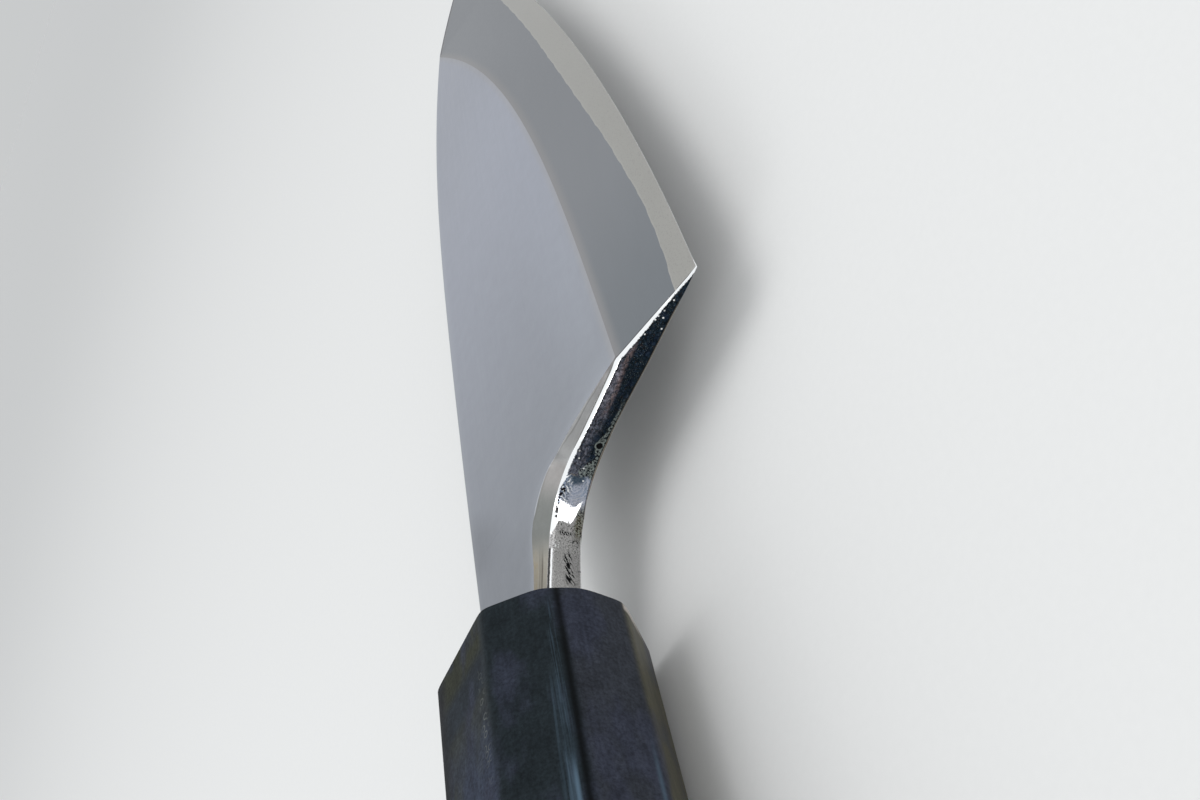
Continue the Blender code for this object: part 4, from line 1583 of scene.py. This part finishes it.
@dataclass
class EdgeSteel:
    """Plate of edge steel under the iron: it shows as the strip by the edge, and as the hollow back."""

    shape: BladeShape = BladeShape()
    start: float = 12.0 * MM
    edge_land: float = 0.04 * MM
    hollow_depth: float = 0.35 * MM
    edge_rim: float = 3.5 * MM
    spine_rim: float = 6.0 * MM
    rim_share: float = 0.3
    hollow_after_heel: float = 12.0 * MM
    hollow_before_tip: float = 25.0 * MM
    heel_fan: float = 1.2 * MM
    edge_fan: float = 0.9 * MM
    face_least: float = 0.05 * MM
    low_steps: int = 12
    edge_steps: int = 200
    wall_steps: int = 12
    strip_steps: int = 16
    top_steps: int = 6
    side_steps: int = 4
    rim_steps: int = 5
    hollow_steps: int = 37
    lip_runs: tuple[float, ...] = (18.0, 20.0, 22.5, 24.0, 30.5, 34.0, 49.0, 55.0, 57.8, 60.0)
    lip_drops: tuple[float, ...] = (0.0, 0.13, 0.13, 0.23, 0.25, 0.16, 0.16, 0.22, 0.15, 0.0)

    def hollow(self, x: Array, way: Array) -> Array:
        """Depth of the hollow: a parabola across the blade, faded out towards both ends.

        Args:
            x: Stations along the handle's axis.
            way: Shares of the way across the blade.

        Returns:
            The depths there.
        """
        start = self.shape.heel_x + self.hollow_after_heel
        stop = self.shape.tip_x - self.hollow_before_tip
        along = np.clip((x - start) / (stop - start), 0, 1)
        return self.hollow_depth * 4 * way * (1 - way) * (1 - (2 * along - 1) ** 4)

    def stations(self) -> dict[str, Array]:
        """Works out the plate's stations: up the neck's underside, down the heel face, along the edge.

        Returns:
            Columns of numbers by name: the plate's foot, where the weld line lies above it, and the
            height of the heel face there.
        """
        s = self.shape
        choil = s.choil()[0]
        neck_length = lengths(choil[:, 0], choil[:, 1])[-1]
        keep = choil[:, 0] > self.start
        corner = s.weld_corner()
        upper = s.heel_wall()
        lower = s.heel_point(corner + (s.heel_level - corner) * ease(self.low_steps)[1:])
        edge_x = s.towards_tip(s.heel_x, s.tip_x - s.tip_land, self.edge_steps)
        start_y = np.interp(self.start, choil[:, 0], choil[:, 1])
        x = np.concatenate([[self.start], choil[keep, 0], upper[:, 0], lower[:, 0], edge_x])
        y = np.concatenate([[start_y], choil[keep, 1], upper[:, 1], lower[:, 1], s.edge(edge_x)])
        walls = 1 + int(keep.sum()) + len(upper)
        on_wall = np.arange(len(x)) < walls
        on_edge = np.arange(len(x)) >= walls + len(lower)
        fan = np.concatenate([
            np.zeros(walls), np.linspace(0, 1, len(lower) + 1)[1:], s.fan(edge_x - s.heel_x)])
        weld_x = np.where(on_wall, x, upper[-1, 0] + self.heel_fan * fan)
        weld_x = np.where(on_edge, x + self.edge_fan * fan, weld_x)
        weld_x = np.minimum(weld_x, s.tip_x - s.tip_land)
        run = lengths(x, y)
        face = np.where(y < s.ridge_start_level, s.bevel_height(x, y), s.face_height(y))
        return {
            "x": x, "y": y, "wall": on_wall, "weld_x": weld_x,
            "weld_y": np.where(on_wall, y, s.weld(weld_x)),
            "weld_top": np.where(on_wall, s.plate, s.bevel_height(weld_x, s.weld(weld_x))),
            "spine_y": np.maximum(s.spine(weld_x), np.where(on_wall, y, s.weld(weld_x))),
            "face": np.maximum(face, self.face_least),
            "run": run + neck_length - run[int(keep.sum())]}

    def back(self, spine: Array, foot: Array, weld_x: Array) -> tuple[Array, Array]:
        """Hollow back between two flat rims.

        Args:
            spine: Lower corners at the spine.
            foot: Lower corners at the edge.
            weld_x: Stations at which the hollow's depth is read.

        Returns:
            Points from the spine to the edge, and how far each lies inside the hollow.
        """
        reach = np.maximum(np.abs(spine[:, 1] - foot[:, 1]), self.shape.least)
        near = (np.minimum(self.edge_rim, self.rim_share * reach) / reach)[:, None]
        far = (np.minimum(self.spine_rim, self.rim_share * reach) / reach)[:, None]
        rim = np.linspace(0, 1, self.rim_steps)[None, :]
        way = np.linspace(0, 1, self.hollow_steps)[None, 1:-1]
        middle = far + (1 - far - near) * way
        ways = np.concatenate([far * rim[:, 1:], middle, 1 - near * (1 - rim[:, :-1])], 1)
        points = spine[:, None, :] + (foot - spine)[:, None, :] * ways[:, :, None]
        depth = np.zeros(ways.shape)
        depth[:, self.rim_steps - 1:1 - self.rim_steps] = self.hollow(weld_x[:, None], way)
        points[:, :, 2] += depth
        return points, depth

    def skin(self) -> Skin:
        """Rings of the plate: wall, strip up to the weld line, upper side, spine and hollow back.

        The wall's foot reaches a little below the back, where the grind left a lip on the heel face.

        Returns:
            The skin with its zones.
        """
        s = self.shape
        c = self.stations()
        flat = s.back_level
        land = np.maximum(s.bevel_height(c["x"], c["y"]), self.edge_land)
        edge_top = np.where(c["wall"], c["weld_top"], land)
        back_top = np.minimum(s.plate, np.maximum(0.5 * s.spine_height(c["weld_x"]), c["weld_top"]))
        drop = np.interp(c["run"], np.array(self.lip_runs) * MM, np.array(self.lip_drops) * MM)
        foot = np.stack([c["x"], c["y"], flat - drop], 1)
        edge = np.stack([c["x"], c["y"], flat + edge_top], 1)
        weld = np.stack([c["weld_x"], c["weld_y"], flat + np.maximum(c["weld_top"], edge_top)], 1)
        spine_top = np.stack([c["weld_x"], c["spine_y"], flat + back_top], 1)
        spine_low = np.stack([c["weld_x"], c["spine_y"], np.full(len(drop), flat)], 1)
        back, depth = self.back(spine_low, foot, c["weld_x"])
        wall = span(foot, edge, ease(self.wall_steps))
        strip = span(edge, weld, ease(self.strip_steps)[1:])
        top = span(weld, spine_top, ease(self.top_steps)[1:])
        rest = np.concatenate([top, span(spine_top, spine_low, ease(self.side_steps)[1:])], 1)
        rings = np.concatenate([wall, strip, rest, back], 1)
        counts = [wall.shape[1] - 1, strip.shape[1], rest.shape[1], back.shape[1] + 1]
        sides = np.repeat([Side.HEEL_FACE, Side.BEVEL, Side.PLAIN, Side.BACK], counts)
        zone = np.repeat(sides[None, :], len(rings), 0)
        lift = rings[:, :, 2] - flat
        hollow = np.zeros(rings.shape[:2])
        hollow[:, -depth.shape[1]:] = depth
        traits = {
            "run": np.repeat(c["run"][:, None], rings.shape[1], 1),
            "rise": lift / c["face"][:, None],
            "drop": c["face"][:, None] - lift,
            "lift": lift,
            "along": rings[:, :, 0],
            "weld_gap": rings[:, :, 1] - s.weld(rings[:, :, 0]),
            "depth": hollow}
        start, tip = (np.repeat(rings[k].mean(0)[None, None, :], rings.shape[1], 1) for k in (0, -1))
        rings = np.concatenate([start, rings, tip])
        zone = padded(zone, 1)
        zone[0] = Side.PLAIN
        return Skin("edge_steel_plate", rings, {key: padded(part, 1) for key, part in traits.items()}, zone)

    def build(self, step: Vector) -> Piece:
        """Makes the piece, in place of the CAD node.

        Args:
            step: Move from the handle's axes into the frame.

        Returns:
            The piece, riding on the one body.
        """
        piece = self.skin().mesh({
            Side.HEEL_FACE: HeelPolish().material(), Side.BEVEL: EdgeHaze().material(),
            Side.PLAIN: ForgedBar().material(), Side.BACK: HollowBack().material()}, step)
        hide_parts("edge_steel")
        return piece


POINTS_ROUND = 320
ANGLES = np.linspace(0, 2 * np.pi, POINTS_ROUND, endpoint=False)


@dataclass(frozen=True)
class Outline:
    """Outline round the handle's axis as a ring of flat sides with rounded corners.

    The radius at an angle is the soft minimum of the distances to all sides: one over the p-th root of
    the sum of (cos(angle - side) / distance) to the power p.
    """

    sides: tuple[tuple[float, float], ...]
    centre: tuple[float, float] = (0.0, 0.0)
    power: float = 40.0

    def ring(self, x: float, grown: float = 1.0, inset: float = 0.0) -> Array:
        """Points of the outline at one station.

        Args:
            x: Station along the handle.
            grown: Factor on every distance.
            inset: How far the outline has drawn in, in metres.

        Returns:
            The ring of points.
        """
        facing = np.array([side[0] for side in self.sides])[:, None]
        away = np.array([side[1] for side in self.sides])[:, None] * grown - inset
        reach = np.clip(np.cos(ANGLES[None, :] - facing) / away, 1e-9, None)
        scale = reach.max(0)
        radius = 1 / (scale * ((reach / scale) ** self.power).sum(0) ** (1 / self.power))
        y = self.centre[0] + radius * np.cos(ANGLES)
        z = self.centre[1] + radius * np.sin(ANGLES)
        return np.stack([np.full(len(ANGLES), x), y, z], 1)


def circle_outline(radius: float) -> Outline:
    """Outline of a circle round the axis."""
    return Outline(tuple((k * np.pi / 2, radius) for k in range(4)), power=2.0)


def box_outline(low: tuple[float, float], high: tuple[float, float], power: float) -> Outline:
    """Outline of a box.

    Args:
        low: Lowest Y and Z.
        high: Highest Y and Z.
        power: Sharpness of its corners.

    Returns:
        The outline about the box's middle.
    """
    half_y = (high[0] - low[0]) / 2
    half_z = (high[1] - low[1]) / 2
    sides = ((0.0, half_y), (np.pi / 2, half_z), (np.pi, half_y), (1.5 * np.pi, half_z))
    return Outline(sides, ((high[0] + low[0]) / 2, (high[1] + low[1]) / 2), power)


@dataclass
class Handle:
    """Eight-sided handle: a horn ferrule and a wooden grip on a slotted dowel, with a resin seal."""

    shape: BladeShape = BladeShape()
    length: float = 135.0 * MM
    growth: float = 30.8 / 27.0 - 1.0
    facings: tuple[float, ...] = (0.0, 45.0, 90.0, 135.0, 162.0, 187.0, 225.0, 270.0, 315.0)
    front_sides: tuple[float, ...] = (13.5, 13.1, 11.5, 13.29, 13.82, 13.77, 12.6, 11.5, 12.73)
    rear_facings: tuple[float, ...] = (0.0, 45.0, 90.0, 133.0, 175.0, 181.0, 225.0, 270.0, 315.0)
    rear_sides: tuple[float, ...] = (13.5, 13.0, 11.5, 12.6, 13.72, 13.75, 12.73, 11.5, 12.73)
    evened_at: float = 24.0 * MM
    ridge_power: float = 46.0
    ferrule_length: float = 34.0 * MM
    front_rounding: float = 0.3 * MM
    joint_rounding: float = 0.25 * MM
    butt_rounding: float = 1.6 * MM
    rounding_steps: int = 8
    length_steps: int = 26
    cap_rings: int = 6
    joint_slit: float = 0.04 * MM
    mouth_lip: float = 0.25 * MM
    lip_turns: tuple[float, ...] = (0.5, 1.0, 1.57)
    seal_wall: float = 1.5 * MM
    seal_depth: float = 3.7 * MM
    seal_curve: tuple[float, float, float] = (-0.95, 0.25, 0.65)
    seal_gap: float = 0.02 * MM
    seal_steps: int = 9
    neck_slack: float = 0.3 * MM
    neck_middle: float = 3.5 * MM
    dowel_front: float = -9.1 * MM
    dowel_length: float = 50.6 * MM
    dowel_radius: float = 7.5 * MM
    dowel_slack: float = 0.3 * MM
    dowel_chamfer: float = 0.5 * MM
    slot: tuple[float, float] = (4.9 * MM, 2.6 * MM)
    slot_level: float = 3.0 * MM
    slot_shift: float = 0.4 * MM
    slot_end: float = -95.6 * MM
    closing_size: float = 0.0001
    box_power: float = 30.0
    neck_power: float = 60.0

    def section(self, x: float) -> Outline:
        """Outline of the handle at a station: fuller under the front, evening out to eight sides.

        Args:
            x: Station along the handle, below zero.

        Returns:
            The outline.
        """
        way = min(1.0, -x / self.evened_at)
        facings = np.radians(np.array(self.facings) * (1 - way) + np.array(self.rear_facings) * way)
        away = (np.array(self.front_sides) * (1 - way) + np.array(self.rear_sides) * way) * MM
        return Outline(tuple(zip(facings, away)), power=self.ridge_power)

    def neck_box(self, margin: float) -> Outline:
        """Outline of the box round the neck, wider by a margin.

        Args:
            margin: How much wider it is on every side.

        Returns:
            The outline.
        """
        s = self.shape
        low = (s.neck_foot_level - margin, s.back_level - margin)
        high = (s.spine_level + margin, s.back_level + s.spine_thickness + margin)
        return box_outline(low, high, self.box_power)

    def skin_rings(self, front: float, rear: float, nose: float, tail: float) -> list[Array]:
        """Rings of the outer skin from rear to front, with both rims rounded.

        Args:
            front: Station of the front face.
            rear: Station of the rear face.
            nose: Rounding of the front rim.
            tail: Rounding of the rear rim.

        Returns:
            The rings, starting and ending on the flat faces.
        """
        def ring(x: float, inset: float) -> Array:
            """One ring, grown with the handle's taper."""
            return self.section(x).ring(x, 1 - self.growth * x / self.length, inset)

        turns = np.linspace(0, np.pi / 2, self.rounding_steps)
        rings = [ring(rear + tail * (1 - np.sin(a)), tail * (1 - np.cos(a))) for a in turns[::-1]]
        rings += [ring(x, 0.0) for x in np.linspace(rear + tail, front - nose, self.length_steps)[1:-1]]
        rings += [ring(front - nose * (1 - np.sin(a)), nose * (1 - np.cos(a))) for a in turns]
        return rings

    def cross(self, start: Array, end: Array) -> list[Array]:
        """Rings between two rings, the first and last left out."""
        return [start + (end - start) * way for way in np.linspace(0, 1, self.cap_rings + 2)[1:-1]]

    def finish(self, name: str, rings: list[Array], closed: bool, node: str,
               material: Material, step: Vector) -> Piece:
        """Makes one piece of the handle.

        Args:
            name: Name of the piece.
            rings: Its rings.
            closed: Whether the last ring joins the first.
            node: CAD node that it stands for.
            material: Its material.
            step: Move into the frame.

        Returns:
            The piece.
        """
        points = np.stack(rings)
        traits = {"along": points[:, :, 0], "turn": np.tile(np.degrees(ANGLES), (len(points), 1))}
        piece = Skin(name, points, traits, closed=closed).mesh({Side.PLAIN: material}, step)
        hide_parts(node)
        return piece

    def ferrule(self, step: Vector) -> Piece:
        """Horn ferrule: skin, front face, pocket for the seal, neck channel and dowel bore.

        Args:
            step: Move from the handle's axes into the frame.

        Returns:
            The piece, riding on the one body.
        """
        rings = self.skin_rings(0.0, -self.ferrule_length, self.front_rounding, self.joint_rounding)
        pocket = self.neck_box(self.seal_wall + self.neck_slack)
        channel = self.neck_box(self.neck_slack)
        bore = circle_outline(self.dowel_radius + self.neck_slack)
        lip = self.mouth_lip
        mouth = pocket.ring(0.0, 1.0, -lip)
        rings += self.cross(rings[-1], mouth) + [mouth]
        rings += [pocket.ring(-lip * (1 - np.cos(t)), 1.0, -lip * (1 - np.sin(t))) for t in self.lip_turns]
        rings += [pocket.ring(-0.5 * self.seal_depth), pocket.ring(-self.seal_depth - self.neck_slack)]
        rings += [channel.ring(-self.seal_depth - self.neck_slack), channel.ring(self.dowel_front)]
        rings += [bore.ring(self.dowel_front), bore.ring(-self.ferrule_length)]
        return self.finish("horn_ferrule_skin", rings, True, "horn_ferrule",
                           HornPolish().material(), step)

    def grip(self, step: Vector) -> Piece:
        """Wooden grip: rounded butt, skin, front face, dowel bore and tang slot.

        Args:
            step: Move from the handle's axes into the frame.

        Returns:
            The piece, riding on the one body.
        """
        front = -self.ferrule_length - self.joint_slit
        rings = self.skin_rings(front, -self.length, self.joint_rounding, self.butt_rounding)
        middle = rings[0] * np.array([1.0, 0.0, 0.0])
        rings = [middle] + self.cross(middle, rings[0]) + rings
        bore = circle_outline(self.dowel_radius + self.neck_slack)
        bore_end = self.dowel_front - self.dowel_length
        slot = self.slot_outline()
        rings += [bore.ring(front), bore.ring(bore_end)]
        rings += [slot.ring(bore_end), slot.ring(self.slot_end)]
        rings += [slot.ring(self.slot_end, self.closing_size)]
        return self.finish("ebony_grip", rings, False, "grip", EbonyGrain().material(), step)

    def slot_outline(self) -> Outline:
        """Outline of the slot for the tang.

        Returns:
            The outline.
        """
        level = self.shape.back_level + self.slot_level
        half, thick = self.slot
        return box_outline((-half, level - thick), (half + self.slot_shift, level + thick), self.box_power)

    def dowel(self, step: Vector) -> Piece:
        """Hidden round dowel with its slot.

        Args:
            step: Move from the handle's axes into the frame.

        Returns:
            The piece, riding on the one body.
        """
        rod = circle_outline(self.dowel_radius)
        front = self.dowel_front - self.dowel_slack
        rear = self.dowel_front - self.dowel_length + self.dowel_slack
        chamfer = self.dowel_chamfer
        slot = self.slot_outline()
        rings = [
            rod.ring(rear, 1.0, chamfer), rod.ring(rear + chamfer),
            rod.ring(front - chamfer), rod.ring(front, 1.0, chamfer),
            slot.ring(front), slot.ring(rear)]
        return self.finish("dowel_peg", rings, True, "handle_dowel",
                           PegGrain().material(), step)

    def seal(self, step: Vector) -> Piece:
        """Resin seal: fills the pocket, sags a little and climbs up the neck, as seal_curve says in mm.

        Args:
            step: Move from the handle's axes into the frame.

        Returns:
            The piece, riding on the one body.
        """
        outer = self.neck_box(self.seal_wall + self.neck_slack - self.seal_gap)
        inner = self.neck_outline(self.seal_gap)
        level, sag, climb = self.seal_curve
        rings = [outer.ring(-self.seal_depth), outer.ring(level * MM)]
        far = inner.ring(0.0)
        for way in np.linspace(0, 1, self.seal_steps)[1:]:
            ring = rings[1] * (1 - way) + far * way
            ring[:, 0] = (level - sag * np.sin(np.pi * way) + climb * way ** 4) * MM
            rings.append(ring)
        rings += [inner.ring(-self.seal_depth)]
        return self.finish("neck_seal", rings, True, "tang_seal", SealResin().material(), step)

    def neck_outline(self, margin: float) -> Outline:
        """Outline of the neck itself: flat back, heel face, strip, sloped flank and spine.

        Args:
            margin: How much wider it is on every side.

        Returns:
            The outline.
        """
        s = self.shape
        centre = ((s.neck_foot_level + s.spine_level) / 2, s.back_level + self.neck_middle)
        slope = (s.spine_thickness - s.bevel_thickness) / (s.spine_level - s.ridge_start_level)
        top = s.back_level + s.spine_thickness - centre[1] - slope * (s.spine_level - centre[0])
        lean = np.arctan(slope)
        sides = (
            (0.0, s.spine_level - centre[0] + margin),
            (np.pi / 2 + lean, top * np.cos(lean) + margin),
            (np.pi, centre[0] - s.neck_foot_level + margin),
            (1.5 * np.pi, self.neck_middle + margin))
        return Outline(sides, centre, self.neck_power)

    def build(self, step: Vector) -> list[Piece]:
        """Makes the four pieces."""
        return [self.ferrule(step), self.grip(step), self.dowel(step), self.seal(step)]


@dataclass(frozen=True)
class Lamp:
    """One soft square lamp."""

    name: str
    place: Colour
    size: float
    radiance: float
    colour: Colour = (1.0, 1.0, 1.0)
    aim: Colour = (0.0, 0.0, 0.01)

    def build(self) -> None:
        """Puts the lamp up, its power from its radiance and its area."""
        light = bpy.data.lights.new(self.name, "AREA")
        light.shape = "SQUARE"
        light.size = self.size
        light.energy = self.radiance * np.pi * self.size ** 2
        light.color = self.colour
        lamp = bpy.data.objects.new(self.name, light)
        lamp.location = self.place
        way = Vector(self.aim) - Vector(self.place)
        lamp.rotation_euler = way.to_track_quat("-Z", "Y").to_euler()
        bpy.context.collection.objects.link(lamp)


@dataclass
class Studio:
    """Pale floor, soft lamps, a pale surround and the camera."""

    floor_size: float = 60.0
    lamps: tuple[Lamp, ...] = (
        Lamp("window", (-0.62, 0.42, 0.30), 0.42, 4.0, (0.95, 0.98, 1.0)),
        Lamp("side", (-0.20, -0.62, 0.20), 0.32, 2.6),
        Lamp("overhead", (0.10, 0.05, 0.90), 0.70, 1.2))
    surround: Colour = (0.92, 0.94, 0.96)
    fill: float = 0.80
    far_sheen: float = 1.045
    camera_place: Colour = (-143.01 * MM, -129.52 * MM, 75.13 * MM)
    camera_forward: Colour = (0.7910, 0.4973, -0.3563)
    camera_down: Colour = (-0.5941, 0.7634, -0.2536)
    focal_length: float = 50.27
    sensor: float = 36.0

    def floor(self) -> None:
        """Lays the floor under the knife."""
        half = self.floor_size / 2
        corners = [(-half, -half, 0.0), (half, -half, 0.0), (half, half, 0.0), (-half, half, 0.0)]
        mesh = bpy.data.meshes.new("studio_floor")
        mesh.from_pydata(corners, [], [(0, 1, 2, 3)])
        mesh.materials.append(PaleFloor().material())
        floor = bpy.data.objects.new("studio_floor", mesh)
        bpy.context.collection.objects.link(floor)

    def world(self) -> None:
        """Pale surround: the floor's far colour to the camera, stronger in reflections than as light."""
        world = bpy.data.worlds.new("surround")
        g = Graph(world)
        path = g.node("ShaderNodeLightPath").outputs
        seen = g.math("MAXIMUM", path["Is Glossy Ray"], path["Is Transmission Ray"]).top(
            Value(g, path["Is Camera Ray"]))
        floor = PaleFloor().tone
        far = self.fill * self.far_sheen
        backdrop = tuple(far * light * tone for light, tone in zip(self.surround, floor))
        tone = g.mix(path["Is Camera Ray"], self.surround, backdrop)
        strength = self.fill + (1 - self.fill) * seen
        glow = g.node("ShaderNodeBackground", {}, {"Color": tone, "Strength": strength})
        g.node("ShaderNodeOutputWorld", {}, {"Surface": glow.outputs[0]})
        bpy.context.scene.world = world

    def camera(self, step: Vector) -> None:
        """Puts the camera where the photograph was taken from.

        Args:
            step: Move from the handle's axes into the frame.
        """
        data = bpy.data.cameras.new("camera")
        data.lens = self.focal_length
        data.sensor_width = self.sensor
        data.clip_start = 0.01
        camera = bpy.data.objects.new("camera", data)
        forward = Vector(self.camera_forward).normalized()
        up = -Vector(self.camera_down)
        up = (up - up.dot(forward) * forward).normalized()
        turn = Matrix((forward.cross(up), up, -forward)).transposed()
        camera.matrix_world = Matrix.Translation(Vector(self.camera_place) + step) @ turn.to_4x4()
        bpy.context.collection.objects.link(camera)
        bpy.context.scene.camera = camera

    def build(self, step: Vector) -> None:
        """Sets up the whole studio.

        Args:
            step: Move from the handle's axes into the frame.
        """
        self.floor()
        self.world()
        for lamp in self.lamps:
            lamp.build()
        self.camera(step)
        bpy.context.scene.view_settings.view_transform = "Standard"


def handle_front() -> Vector:
    """Place in the frame of the point where the handle's axis meets the ferrule's front face."""
    low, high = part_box("horn_ferrule")
    return Vector((high[0], (low[1] + high[1]) / 2, (low[2] + high[2]) / 2))


def main() -> None:
    """Builds the knife piece by piece, then the studio."""
    logging.basicConfig(level=logging.INFO, format="%(message)s")
    step = handle_front()
    IronBlade().build(step)
    EdgeSteel().build(step)
    Handle().build(step)
    Studio().build(step)


if __name__ == "__main__":
    main()
